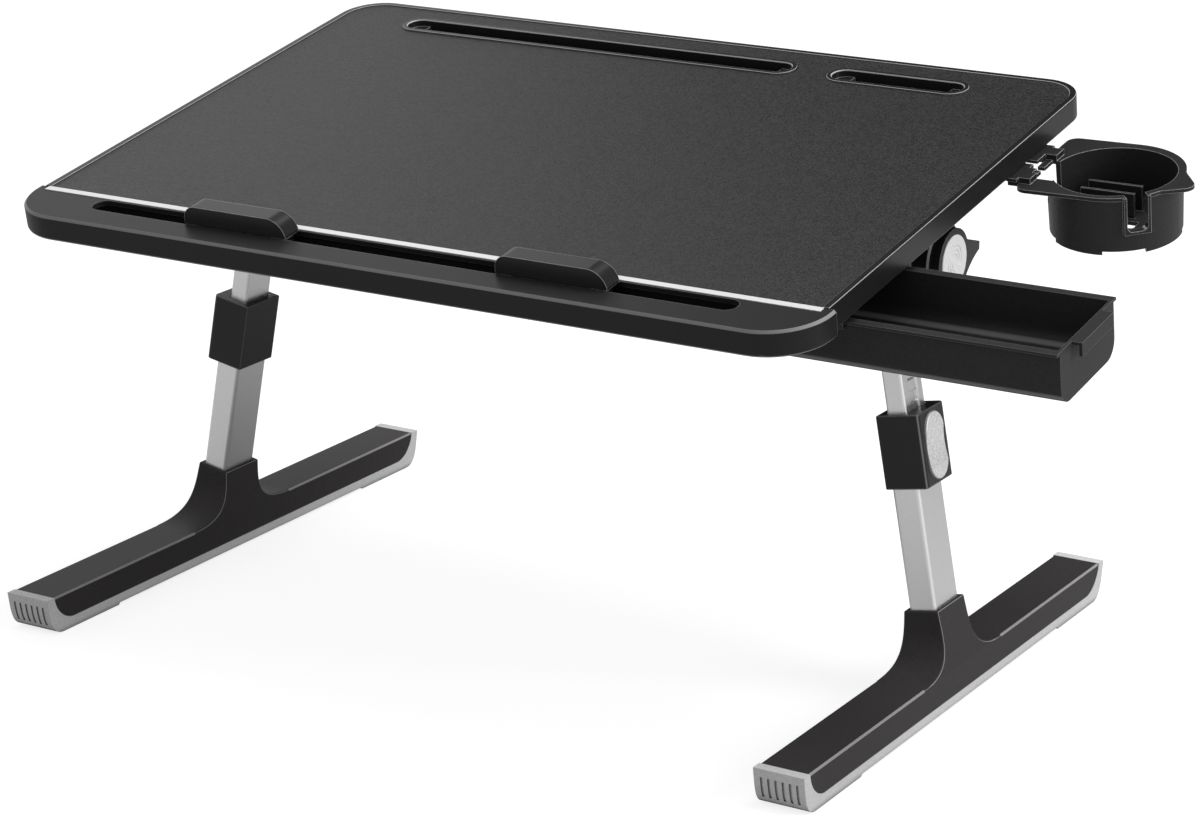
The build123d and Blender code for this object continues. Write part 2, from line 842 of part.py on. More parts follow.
with BuildPart() as knuckle:
    with BuildSketch(leg_at(knuckle_bottom)):
        RectangleRounded(2 * knuckle_half_x, 2 * knuckle_half_y, knuckle_radius)
    extrude(amount=knuckle_top - knuckle_bottom)
    with BuildSketch(leg_side):
        with Locations((0, (knuckle_top + pivot_along_leg) / 2 - 1)):
            Rectangle(2 * knuckle_half_x, knuckle_neck + 2)
        with Locations((0, pivot_along_leg)):
            Circle(tongue_radius)
    extrude(amount=cheek_inner - tongue_gap, both=True)
    with BuildSketch(leg_side):
        with Locations((0, pivot_along_leg)):
            Circle(bolt_radius)
    extrude(amount=cheek_inner, both=True, mode=Mode.SUBTRACT)
    with BuildSketch(leg_at(knuckle_bottom)):
        add(tube_outline(inner_x, inner_y, inner_radius))
    extrude(amount=inner_socket, mode=Mode.SUBTRACT)
save_pair(knuckle, "knuckle")

# Inner tube, with a track of notches down its outboard face

button_middle = collar_middle
pawl_height = button_middle - pawl_drop
tooth_middle = pawl_height - pawl_arm + tooth_height / 2
track_top = knuckle_bottom
notch_heights = [tooth_middle + step * notch_pitch for step in range(-notches_below, notches_above + 1)]

with BuildPart() as inner_tube:
    with BuildSketch(leg_at(inner_bottom)):
        add(tube_outline(inner_x, inner_y, inner_radius))
        add(tube_outline(inner_x - 2 * inner_wall, inner_y - 2 * inner_wall, 0.5), mode=Mode.SUBTRACT)
    extrude(amount=knuckle_bottom + inner_socket - inner_bottom)
    with BuildSketch(outboard(inner_face)):
        with Locations((0, (inner_bottom + track_top) / 2)):
            Rectangle(track_width, track_top - inner_bottom)
    extrude(amount=-track_depth, mode=Mode.SUBTRACT)
    with BuildSketch(outboard(inner_face)):
        with Locations(*[(0, height) for height in notch_heights]):
            RectangleRounded(notch_width, notch_height, 1)
    extrude(amount=-track_depth - notch_depth, mode=Mode.SUBTRACT)
save_pair(inner_tube, "inner_tube")

with BuildPart() as glide_shoe:
    with BuildSketch(leg_at(inner_bottom - shoe_height)):
        add(tube_outline(
            outer_x - 2 * (outer_wall + shoe_gap), outer_y - 2 * (outer_wall + shoe_gap), inner_radius
        ))
    extrude(amount=shoe_height)
    with BuildSketch(leg_at(inner_bottom)):
        add(tube_outline(inner_x - 2 * inner_wall, inner_y - 2 * inner_wall, 0.5))
    extrude(amount=shoe_plug)
save_pair(glide_shoe, "glide_shoe")

# Outer tube and collar

with BuildPart() as outer_tube:
    with BuildSketch(leg_at(outer_bottom)):
        add(tube_outline(outer_x, outer_y, outer_radius))
        add(tube_outline(outer_x - 2 * outer_wall, outer_y - 2 * outer_wall, 1), mode=Mode.SUBTRACT)
    extrude(amount=collar_bottom + collar_tube_seat - outer_bottom)
save_pair(outer_tube, "outer_tube")

pin_distance = pawl_face + pawl_thickness / 2
ear_top = pin_distance + window_wall

with BuildPart() as collar:
    with BuildSketch(leg_at(collar_bottom)) as collar_outline:
        with Locations((collar_offset, 0)):
            Rectangle(collar_x, collar_y)
        fillet(collar_outline.vertices().group_by(Axis.X)[-1], collar_radius)
    extrude(amount=collar_top - collar_bottom)
    chamfer(collar.edges().group_by(leg_axis)[-1], 0.6)
    chamfer(collar.edges().group_by(leg_axis)[0], 0.6)
    with BuildSketch(leg_at(collar_bottom)):
        add(tube_outline(outer_x, outer_y, outer_radius))
    extrude(amount=collar_tube_seat, mode=Mode.SUBTRACT)
    with BuildSketch(leg_at(collar_bottom)):
        add(tube_outline(inner_x + 2 * collar_bore_gap, inner_y + 2 * collar_bore_gap, inner_radius))
    extrude(amount=collar_top - collar_bottom, mode=Mode.SUBTRACT)
    with BuildSketch(outboard(collar_floor)):
        with Locations((0, button_middle)):
            SlotOverall(button_height + 2 * button_gap, button_width + 2 * button_gap, rotation=90)
    extrude(amount=collar_face - collar_floor, mode=Mode.SUBTRACT)
    with BuildSketch(outboard(collar_floor)):
        for ear_side in (-1, 1):
            with Locations((ear_side * (pawl_window + window_wall) / 2, pawl_height)):
                Rectangle(window_wall, 2 * window_wall)
    extrude(amount=ear_top - collar_floor)
    with BuildSketch(outboard(inner_face)):
        with Locations((0, pawl_height)):
            Rectangle(pawl_window, 2 * (pawl_arm + pawl_slack))
    extrude(amount=collar_floor - inner_face, mode=Mode.SUBTRACT)
    with BuildSketch(leg_side):
        with Locations((pin_distance, pawl_height)):
            Circle(pawl_pin_radius)
    extrude(amount=pawl_window / 2 + window_wall, both=True, mode=Mode.SUBTRACT)
save_pair(collar, "collar")

# Latch: an oval button pushes one arm of a pawl, whose other arm carries the tooth

button_outer = collar_face + button_proud
button_inner = button_outer - button_depth
cavity_top = button_outer - button_cavity
pawl_outer = pawl_face + pawl_thickness

with BuildPart() as latch_button:
    with BuildSketch(outboard(button_inner)):
        with Locations((0, button_middle)):
            SlotOverall(button_height, button_width, rotation=90)
    extrude(amount=button_depth)
    fillet(latch_button.edges().group_by(out_axis)[-1], 0.9)
    with BuildSketch(leg_side):
        with Locations((button_outer - button_dip + button_dip_radius, button_middle)):
            Circle(button_dip_radius)
    extrude(amount=button_width, both=True, mode=Mode.SUBTRACT)
    with BuildSketch(outboard(button_inner)):
        with Locations((0, button_middle)):
            SlotOverall(button_height - 2 * button_wall, button_width - 2 * button_wall, rotation=90)
    extrude(amount=cavity_top - button_inner, mode=Mode.SUBTRACT)
    with BuildSketch(outboard(pawl_outer + pawl_gap)):
        with Locations((0, pawl_height + pawl_arm - pawl_push / 2)):
            Rectangle(pawl_width - 2, pawl_push)
    extrude(amount=cavity_top - pawl_outer - pawl_gap)
save_pair(latch_button, "latch_button")

with BuildPart() as latch_springs:
    with BuildSketch(outboard(collar_floor)):
        with Locations(*[(side * spring_spread, button_middle + spring_rise) for side in (-1, 1)]):
            Circle(spring_radius)
            Circle(spring_radius - spring_wire, mode=Mode.SUBTRACT)
    extrude(amount=cavity_top - collar_floor - spring_gap)
save_pair(latch_springs, "latch_springs")

tooth_reach = pin_distance - (inner_face - track_depth) - pawl_gap

with BuildPart() as latch_pawl:
    with BuildSketch(leg_side):
        with Locations((pin_distance, pawl_height)):
            Rectangle(pawl_thickness, 2 * pawl_arm)
            Circle(pawl_hub_radius)
        with Locations((pin_distance, pawl_height - pawl_arm)):
            Rectangle(tooth_reach, tooth_height, align=(Align.MAX, Align.MIN))
        with Locations((pin_distance, pawl_height)):
            Circle(pawl_pin_radius + pawl_pin_play, mode=Mode.SUBTRACT)
    extrude(amount=pawl_width / 2, both=True)
save_pair(latch_pawl, "latch_pawl")

with BuildPart() as latch_pin:
    with BuildSketch(leg_side):
        with Locations((pin_distance, pawl_height)):
            Circle(pawl_pin_radius)
    extrude(amount=pawl_window / 2 + window_wall, both=True)
save_pair(latch_pin, "latch_pin")

# Foot: a bar with boat-shaped ends and a flared socket for the outer tube

foot_x = leg_foot_x - foot_inset
foot_inner_x = foot_x - foot_width / 2
foot_outer_x = foot_x + foot_width / 2
foot_plane = Plane(origin=(foot_x, foot_rearward, 0), x_dir=(0, 1, 0), z_dir=(1, 0, 0))
cap_line = [
    (foot_half - sole_lip - cap_slope, sole_height),
    (foot_half - sole_lip - cap_belly[0], cap_belly[1]),
    (foot_half - sole_lip, foot_height),
]
sole_flat = foot_half - bow_reach
socket_top_out = leg_base + leg_up * socket_height + leg_out * socket_half_x
socket_top_in = leg_base + leg_up * socket_height - leg_out * socket_half_x
flare_top = socket_top_in.Z - socket_neck


def bow_curve(inward):
    """Curve of the sole's end from the floor up to its top, drawn in by inward."""
    Spline(
        (sole_flat - inward, 0),
        (foot_half - inward, foot_height),
        tangents=((1, 0), (bow_lean, 1)),
    )


with BuildPart() as socket_form:
    with BuildSketch(Plane.YZ.offset(foot_x)):
        with BuildLine():
            Polyline((0, foot_height / 2), (flare_half, foot_height / 2), (flare_half, foot_height))
            Bezier(
                (flare_half, foot_height),
                (flare_knee[0], foot_height),
                (socket_half_y, flare_knee[1]),
                (socket_half_y, flare_top),
            )
            Polyline((socket_half_y, flare_top), (socket_half_y, 2 * flare_top), (0, 2 * flare_top))
            mirror(about=Plane.YZ)
        make_face()
    extrude(amount=foot_width, both=True)
    with BuildSketch(Plane.XZ):
        with BuildLine():
            Polyline(
                (foot_inner_x, foot_height / 2),
                (foot_outer_x, foot_height / 2),
                (foot_outer_x, foot_height),
                (socket_top_out.X, socket_top_out.Z),
                (socket_top_in.X, socket_top_in.Z),
                (foot_inner_x, foot_height),
                close=True,
            )
        make_face()
    extrude(amount=flare_half, both=True, mode=Mode.INTERSECT)
    rim = socket_form.edges().group_by(leg_axis)[-1]
    corners = socket_form.edges().filter_by(
        lambda edge: edge.bounding_box().size.Z > foot_edge and abs(edge.center().X - foot_x) > foot_edge
    )
    corners = [edge for edge in corners if edge not in rim and edge.center().Z > foot_height]
    fillet(list(rim) + corners, foot_edge)

foot_screw_reach = foot_half - foot_screw_inset
foot_screw_places = [(foot_x, foot_rearward + end * foot_screw_reach) for end in (-1, 1)]
screw_seat = sole_height - foot_screw_head

with BuildPart() as foot:
    with BuildSketch(foot_plane):
        with BuildLine():
            Line((0, sole_height), cap_line[0])
            ThreePointArc(*cap_line)
            Line(cap_line[2], (0, foot_height))
            mirror(about=Plane.YZ)
        make_face()
    extrude(amount=foot_width / 2, both=True)
    chamfer(foot.edges().filter_by(Axis.Y).group_by(Axis.Z)[-1], foot_edge)
    add(socket_form.part)
    with BuildSketch(leg_at(outer_bottom)):
        add(tube_outline(outer_x, outer_y, outer_radius))
    extrude(amount=socket_height, mode=Mode.SUBTRACT)
    with BuildSketch(Plane.XY.offset(sole_height)):
        with Locations(*foot_screw_places):
            Circle(foot_screw_shank)
    extrude(amount=foot_screw_length - foot_screw_head, mode=Mode.SUBTRACT)
save_pair(foot, "foot")

with BuildPart() as sole:
    with BuildSketch(foot_plane):
        with BuildLine():
            Polyline(
                (0, sole_arch),
                (sole_flat - pad_length - sole_arch, sole_arch),
                (sole_flat - pad_length, 0),
                (sole_flat, 0),
            )
            bow_curve(0)
            Line((foot_half, foot_height), cap_line[2])
            ThreePointArc(*cap_line[::-1])
            Line(cap_line[0], (0, sole_height))
            mirror(about=Plane.YZ)
        make_face()
    extrude(amount=foot_width / 2 + sole_proud, both=True)
    groove_pitch = foot_width / (end_grooves + 1)
    for groove in range(end_grooves):
        groove_offset = (groove + 1) * groove_pitch - foot_width / 2
        with BuildSketch(foot_plane.offset(groove_offset)):
            with BuildLine():
                bow_curve(end_groove_depth)
                Line((foot_half - end_groove_depth, foot_height), (foot_half + bow_reach, foot_height))
                Line((foot_half + bow_reach, foot_height), (foot_half + bow_reach, 0))
                Line((foot_half + bow_reach, 0), (sole_flat - end_groove_depth, 0))
            make_face()
            with Locations((foot_half, (end_groove_low + end_groove_high) / 2)):
                Rectangle(2 * bow_reach, end_groove_high - end_groove_low, mode=Mode.INTERSECT)
            mirror(about=Plane.YZ)
        extrude(amount=end_groove_width / 2, both=True, mode=Mode.SUBTRACT)
    with BuildSketch(Plane.XY):
        with Locations(*foot_screw_places):
            Circle(foot_screw_head)
    extrude(amount=screw_seat, mode=Mode.SUBTRACT)
    with BuildSketch(Plane.XY):
        with Locations(*foot_screw_places):
            Circle(foot_screw_shank)
    extrude(amount=sole_height, mode=Mode.SUBTRACT)
save_pair(sole, "sole")

with BuildPart() as foot_screws:
    with BuildSketch(Plane.XY.offset(screw_seat)):
        with Locations(*foot_screw_places):
            Circle(foot_screw_head - pawl_gap)
    extrude(amount=-screw_head_height)
    with BuildSketch(Plane.XY.offset(screw_seat)):
        with Locations(*foot_screw_places):
            Circle(foot_screw_shank)
    extrude(amount=foot_screw_length)
save_pair(foot_screws, "foot_screws")

# Drawer: a tray with rounded lower edges, a flange that rides in the rails and a finger lip

drawer_middle_v = (drawer_front_v + drawer_rear_v) / 2
drawer_width = drawer_rear_v - drawer_front_v
drawer_right_x = drawer_left_x + drawer_length

with BuildPart() as drawer:
    with BuildSketch(across(drawer_left_x)) as tray_section:
        with Locations((drawer_middle_v, -drawer_bottom)):
            Rectangle(drawer_width, drawer_bottom - drawer_rim, align=(Align.CENTER, Align.MIN))
        fillet(tray_section.vertices().group_by(Axis.Y)[0], drawer_lower_radius)
    extrude(amount=drawer_length)
    offset(amount=-drawer_wall, openings=drawer.faces().sort_by(upward)[-1])
    with BuildSketch(below(drawer_rim)):
        with Locations(((drawer_left_x + drawer_right_x) / 2, drawer_middle_v)):
            Rectangle(drawer_length, drawer_width + 2 * drawer_flange)
            Rectangle(drawer_length - 2 * drawer_wall, drawer_width - 2 * drawer_wall, mode=Mode.SUBTRACT)
    extrude(amount=-drawer_flange_thickness)
    with BuildSketch(below(drawer_rim)):
        with Locations((drawer_right_x, drawer_middle_v)):
            Rectangle(handle_reach, handle_width, align=(Align.MIN, Align.CENTER))
    extrude(amount=-handle_thickness)
    with BuildSketch(below(drawer_rim)):
        with Locations((drawer_right_x + handle_reach, drawer_middle_v)):
            Rectangle(handle_thickness, handle_width, align=(Align.MAX, Align.CENTER))
    extrude(amount=-handle_drop)
save(drawer, "drawer")

flange_bottom = drawer_rim + drawer_flange_thickness
rail_shelf = drawer_rim - rail_gap
rail_lip_top = flange_bottom + rail_gap
rail_bottom = rail_lip_top + rail_lip
rail_length = rail_end_x - rail_left_x


def drawer_rail(web_v, inward):
    """Channel whose web stands at v = web_v and whose lip reaches inward under the drawer's flange."""
    groove_v = web_v + inward * rail_web
    shelf_v = groove_v + inward * rail_lip_reach
    tab_v = web_v - inward * rail_tab_v
    with BuildPart() as rail:
        with BuildSketch(across(rail_left_x)):
            with BuildLine():
                Polyline(
                    (web_v, -board_bottom),
                    (shelf_v, -board_bottom),
                    (shelf_v, -rail_shelf),
                    (groove_v, -rail_shelf),
                    (groove_v, -rail_lip_top),
                    (shelf_v, -rail_lip_top),
                    (shelf_v, -rail_bottom),
                    (web_v, -rail_bottom),
                    close=True,
                )
            make_face()
        extrude(amount=rail_length)
        with BuildSketch(below(board_bottom)):
            with Locations((rail_left_x + rail_tab_v, tab_v), (rail_end_x - rail_tab_v, tab_v)):
                Rectangle(rail_tab, rail_tab)
                Circle(screw_shank_radius, mode=Mode.SUBTRACT)
        extrude(amount=-rail_tab_thickness)
    return rail


save(drawer_rail(rail_front_v, 1), "drawer_rail_front")
save(drawer_rail(rail_rear_v, -1), "drawer_rail_rear")
save(screw_group(rail_screws, board_bottom + rail_tab_thickness), "rail_screws")

# Cup holder: a flanged cup with a slot for a mug's handle, carried by two arms

cup_centre = (cup_x, cup_v)
flange_bottom_depth = flange_top + flange_thickness
floor_top = cup_bottom - cup_foot_ring - cup_floor
slot_turn = radians(handle_slot_angle)
slot_out = Vector(cos(slot_turn), 0, 0) + slope * sin(slot_turn)
slot_origin = top_corner + Vector(cup_x, 0, 0) + slope * cup_v


def facing_slot(distance):
    """Plane facing out through the handle slot, with the height over the table top as its v."""
    return Plane(origin=slot_origin + slot_out * distance, x_dir=normal.cross(slot_out), z_dir=slot_out)


def polar_turn(corner):
    """Turn of a flange corner about the cup's centre, in degrees from X."""
    place = below(flange_bottom_depth).to_local_coords(corner.center())
    return degrees(atan2(place.Y - cup_v, place.X - cup_x))


with BuildPart() as cup_holder:
    with BuildSketch(below(flange_bottom_depth)) as cup_flange:
        with BuildSketch(mode=Mode.PRIVATE) as flange_body:
            with Locations(cup_centre, (cup_x, cup_v + flange_rear_shift)):
                Circle(flange_rim)
            with Locations(
                (flange_edge_x + flange_corner, flange_front_v + flange_corner),
                (flange_edge_x + flange_corner, flange_rear_v - flange_corner),
            ):
                Circle(flange_corner)
            make_hull(mode=Mode.REPLACE)
        add(flange_body.sketch)
        with BuildSketch(mode=Mode.PRIVATE) as flange_tab:
            with Locations(cup_centre):
                with PolarLocations(tab_reach, 1, start_angle=tab_turn):
                    Circle(tab_radius)
                for root_turn in tab_root_turns:
                    with PolarLocations(flange_rim - tab_root_radius, 1, start_angle=root_turn):
                        Circle(tab_root_radius)
            make_hull(mode=Mode.REPLACE)
        add(flange_tab.sketch)
        tab_hollows = cup_flange.vertices().filter_by(
            lambda corner: tab_root_turns[0] - 15 < polar_turn(corner) < tab_root_turns[1] + 15
        )
        fillet(tab_hollows, tab_hollow)
    extrude(amount=flange_thickness)
    with BuildSketch(below(flange_bottom_depth)):
        with Locations(cup_centre):
            Circle(cup_radius + cup_wall)
    extrude(amount=-(cup_bottom - flange_bottom_depth), taper=cup_draft)
    with BuildSketch(facing_slot(cup_radius)):
        with Locations((0, -flange_top)):
            Rectangle(
                handle_slot_width + 2 * handle_bead,
                handle_slot_depth + handle_bead,
                align=(Align.CENTER, Align.MAX),
            )
    extrude(amount=cup_wall + handle_bead_proud)
    with BuildSketch(below(floor_top)):
        with Locations(cup_centre):
            Circle(cup_radius)
    extrude(amount=floor_top, mode=Mode.SUBTRACT)
    with BuildSketch(below(cup_bottom)):
        with Locations(cup_centre):
            Circle(cup_radius - cup_foot_wall)
    extrude(amount=cup_foot_ring, mode=Mode.SUBTRACT)
    with BuildSketch(below(cup_bottom)):
        with Locations(cup_centre):
            with PolarLocations(cup_radius, cup_notches, start_angle=cup_notch_turn):
                Rectangle(cup_radius / 2, cup_notch_width)
    extrude(amount=cup_foot_ring, mode=Mode.SUBTRACT)
    with BuildSketch(below(floor_top)):
        for rib_v in (floor_rib_front_v, floor_rib_rear_v):
            with Locations((cup_x + floor_rib_left + floor_rib_length / 2, cup_v + rib_v)):
                Rectangle(floor_rib_length, floor_rib_thickness)
    extrude(amount=floor_top - rib_top)
    with BuildSketch(below(cup_bottom)):
        for window_side in (-1, 1):
            window_v = cup_v + window_side * (floor_window_v + floor_window_bar) / 2 - floor_window_v
            with Locations((cup_x, window_v)):
                RectangleRounded(floor_window_x, floor_window_v, 2)
    extrude(amount=cup_bottom - floor_top, mode=Mode.SUBTRACT)
    with BuildSketch(facing_slot(cup_radius / 2)):
        with Locations((0, -flange_top)):
            RectangleRounded(handle_slot_width, 2 * handle_slot_depth, handle_slot_corner)
    extrude(amount=cup_radius, mode=Mode.SUBTRACT)
    with BuildSketch(below(arm_top + arm_thickness)):
        for low_v, high_v in (front_arm_v, rear_arm_v):
            with Locations((arm_end_x, (low_v + high_v) / 2)):
                Rectangle(flange_edge_x - arm_end_x, high_v - low_v, align=(Align.MIN, Align.CENTER))
        with Locations((flange_edge_x, (front_arm_v[0] + rear_arm_v[1]) / 2)):
            Rectangle(flange_corner, rear_arm_v[1] - front_arm_v[0], align=(Align.MAX, Align.CENTER))
        with Locations((arm_end_x, (front_arm_v[0] + rear_arm_v[1]) / 2)):
            Rectangle(flange_corner, rear_arm_v[1] - front_arm_v[0], align=(Align.MIN, Align.CENTER))
    extrude(amount=arm_thickness)
    lip_room = guide_lip_reach + guide_clear
    with BuildSketch(below(flange_bottom_depth)):
        for (low_v, high_v), inward in ((front_arm_v, 1), (rear_arm_v, -1)):
            with Locations((flange_edge_x, (low_v + high_v + inward * lip_room) / 2)):
                Rectangle(2 * flange_corner, high_v - low_v - lip_room)
    extrude(amount=flange_bottom_depth - arm_top)
    with BuildSketch(below(arm_notch_bottom)):
        with Locations((sum(arm_notch_x) / 2, sum(arm_notch_v) / 2)):
            Rectangle(arm_notch_x[1] - arm_notch_x[0], arm_notch_v[1] - arm_notch_v[0])
        with Locations((arm_notch_x[0], arm_slit_v)):
            Rectangle(2 * (arm_notch_x[0] - flange_edge_x) + 2 * flange_corner, arm_slit_width)
    extrude(amount=arm_notch_bottom, mode=Mode.SUBTRACT)
save(cup_holder, "cup_holder")

# Guide under the board that the arms slide in: two lipped rails joined at their inner end

with BuildPart() as cup_guide:
    for outer_v, inward in ((guide_front_v, 1), (guide_rear_v, -1)):
        inner_v = outer_v + inward * guide_rail
        lip_v = inner_v + inward * guide_lip_reach
        with BuildSketch(across(guide_left_x)):
            with BuildLine():
                Polyline(
                    (outer_v, -board_bottom),
                    (inner_v, -board_bottom),
                    (inner_v, -guide_bottom + guide_lip),
                    (lip_v, -guide_bottom + guide_lip),
                    (lip_v, -guide_bottom),
                    (outer_v, -guide_bottom),
                    close=True,
                )
            make_face()
        extrude(amount=guide_right_x - guide_left_x)
    with BuildSketch(below(guide_bottom)):
        with Locations((guide_left_x, (guide_front_v + guide_rear_v) / 2)):
            Rectangle(guide_end_wall, guide_rear_v - guide_front_v, align=(Align.MIN, Align.CENTER))
    extrude(amount=guide_bottom - board_bottom)
    with BuildSketch(below(guide_bottom)):
        for rib in range(guide_rib_count):
            rib_v = guide_front_v + (rib + 1) * guide_rail / (guide_rib_count + 1)
            with Locations(((guide_left_x + guide_right_x) / 2, rib_v)):
                Rectangle(guide_right_x - guide_left_x - 2 * guide_block, guide_rib_width)
    extrude(amount=guide_rib_depth, mode=Mode.SUBTRACT)
    with BuildSketch(below(guide_bottom)):
        with Locations(*guide_screws):
            Circle(screw_head_radius + guide_screw_gap)
    extrude(amount=guide_screw_sink, mode=Mode.SUBTRACT)
    with BuildSketch(below(guide_bottom)):
        with Locations(*guide_screws):
            Circle(screw_shank_radius)
    extrude(amount=guide_bottom - board_bottom, mode=Mode.SUBTRACT)
save(cup_guide, "cup_guide")
save(screw_group(guide_screws, guide_bottom - guide_screw_sink), "guide_screws")
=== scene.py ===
"""Studio picture of a folding laptop table, dressed over its construction model."""

from __future__ import annotations

import logging
import math
from dataclasses import dataclass
from enum import Enum

import bpy
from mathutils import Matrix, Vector

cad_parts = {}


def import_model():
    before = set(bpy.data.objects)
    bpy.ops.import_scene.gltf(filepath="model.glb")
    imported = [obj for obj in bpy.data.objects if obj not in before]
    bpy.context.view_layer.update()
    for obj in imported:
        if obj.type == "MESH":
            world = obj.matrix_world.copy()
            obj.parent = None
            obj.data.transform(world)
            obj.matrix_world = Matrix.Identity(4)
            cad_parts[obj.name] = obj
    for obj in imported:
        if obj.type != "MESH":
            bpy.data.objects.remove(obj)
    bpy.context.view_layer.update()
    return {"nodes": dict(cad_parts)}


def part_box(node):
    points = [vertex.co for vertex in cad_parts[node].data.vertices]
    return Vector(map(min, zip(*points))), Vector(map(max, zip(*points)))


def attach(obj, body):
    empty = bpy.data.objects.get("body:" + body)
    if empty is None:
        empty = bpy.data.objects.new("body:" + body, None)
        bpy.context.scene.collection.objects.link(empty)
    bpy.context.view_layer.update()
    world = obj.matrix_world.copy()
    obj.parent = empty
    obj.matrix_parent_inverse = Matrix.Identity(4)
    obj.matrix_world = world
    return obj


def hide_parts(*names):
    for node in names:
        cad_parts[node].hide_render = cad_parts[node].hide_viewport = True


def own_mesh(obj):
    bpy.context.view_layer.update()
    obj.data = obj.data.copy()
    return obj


log = logging.getLogger("laptop_table")

MILLIMETRE = 0.001
LEG_LEAN = math.radians(10.5)
QUARTER_TURN = math.pi / 2
FACES_SAME_WAY = 0.9

Socket = bpy.types.NodeSocket
Triple = tuple[float, float, float]


class Side(Enum):
    """The two legs of the table, with the sign of X that each stands on."""

    LEFT = -1
    RIGHT = 1

    @property
    def word(self) -> str:
        """Ending of the side's node names."""
        return self.name.lower()


class GroupName(Enum):
    """Shader groups that several finishes share."""

    EDGES = "soft_edges"
    GRAIN = "moulded_grain"
    DRIFT = "tone_drift"
    SCUFFS = "handling_scuffs"
    BRUSH = "drawn_brush"
    SPECKLE = "paint_speckle"


@dataclass(frozen=True)
class Graph:
    """One shader tree that is being wired.

    Args:
        tree: The node tree of a material, a world or a group.
    """

    tree: bpy.types.NodeTree

    def add(self, kind: str, **settings: object) -> bpy.types.Node:
        """Add one node and set its properties.

        Args:
            kind: Blender's name of the node type.
            settings: Properties of the node to set.

        Returns:
            The new node.
        """
        node = self.tree.nodes.new(kind)
        for key, value in settings.items():
            setattr(node, key, value)
        return node

    def link(self, start: Socket, end: Socket) -> None:
        """Join an output socket to an input socket."""
        self.tree.links.new(start, end)

    def math(self, operation: str, first: Socket | float, second: Socket | float = 0.0) -> Socket:
        """Add a math node.

        Args:
            operation: Name of the operation.
            first: A socket or a number.
            second: A socket or a number.

        Returns:
            The node's result socket.
        """
        node = self.add("ShaderNodeMath", operation=operation)
        for index, value in enumerate((first, second)):
            if isinstance(value, Socket):
                self.link(value, node.inputs[index])
            else:
                node.inputs[index].default_value = value
        return node.outputs[0]

    def remap(self, value: Socket, low: float, high: float, start: float = 0.0,
              end: float = 1.0) -> Socket:
        """Map a value that runs from start to end onto low to high.

        Args:
            value: Socket to read.
            low: Result at start.
            high: Result at end.
            start: Value that gives low.
            end: Value that gives high.

        Returns:
            The mapped socket.
        """
        node = self.add("ShaderNodeMapRange")
        self.link(value, node.inputs["Value"])
        node.inputs["From Min"].default_value = start
        node.inputs["From Max"].default_value = end
        node.inputs["To Min"].default_value = low
        node.inputs["To Max"].default_value = high
        return node.outputs["Result"]

    def group(self, name: GroupName, **values: object) -> bpy.types.Node:
        """Place a shared group.

        Args:
            name: Which group.
            values: Values of its inputs, with underscores for the spaces in their names.

        Returns:
            The group node.
        """
        node = self.add("ShaderNodeGroup")
        node.node_tree = bpy.data.node_groups[name.value]
        for key, value in values.items():
            socket = node.inputs[key.replace("_", " ")]
            if isinstance(value, Socket):
                self.link(value, socket)
            else:
                socket.default_value = value
        return node

    def place(self) -> Socket:
        """Place on the piece, in metres, which every pattern is laid out in."""
        return self.add("ShaderNodeTexCoord").outputs["Object"]

    def noise(self, place: Socket, scale: Socket, detail: float, roughness: float = 0.5) -> Socket:
        """Add a noise pattern.

        Args:
            place: Coordinates that it is laid out in.
            scale: Patches per unit of those coordinates.
            detail: Octaves of finer noise.
            roughness: How much the finer noise weighs.

        Returns:
            The pattern's value.
        """
        node = self.add("ShaderNodeTexNoise")
        self.link(place, node.inputs["Vector"])
        self.link(scale, node.inputs["Scale"])
        node.inputs["Detail"].default_value = detail
        node.inputs["Roughness"].default_value = roughness
        return node.outputs["Fac"]

    def stretch(self, place: Socket, scale: Triple, turn: Triple = (0.0, 0.0, 0.0)) -> Socket:
        """Turn and stretch the coordinates of a pattern.

        Args:
            place: Coordinates to change.
            scale: Factor for each axis.
            turn: Rotation, in radians.

        Returns:
            The changed coordinates.
        """
        node = self.add("ShaderNodeMapping")
        node.inputs["Rotation"].default_value = turn
        node.inputs["Scale"].default_value = scale
        self.link(place, node.inputs["Vector"])
        return node.outputs["Vector"]

    def scaled(self, vector: Socket, factor: Socket) -> Socket:
        """Multiply a colour or vector.

        Args:
            vector: Colour or vector to read.
            factor: Number to multiply it by.

        Returns:
            The product.
        """
        node = self.add("ShaderNodeVectorMath", operation="SCALE")
        self.link(vector, node.inputs[0])
        self.link(factor, node.inputs["Scale"])
        return node.outputs[0]

    def bump(self, depth: Socket, height: Socket, normal: Socket) -> Socket:
        """Raise a pattern on the surface.

        Args:
            depth: Depth of the pattern, in metres.
            height: The pattern.
            normal: Normal of the surface under it.

        Returns:
            The bumped normal.
        """
        node = self.add("ShaderNodeBump")
        self.link(depth, node.inputs["Distance"])
        self.link(height, node.inputs["Height"])
        self.link(normal, node.inputs["Normal"])
        return node.outputs["Normal"]


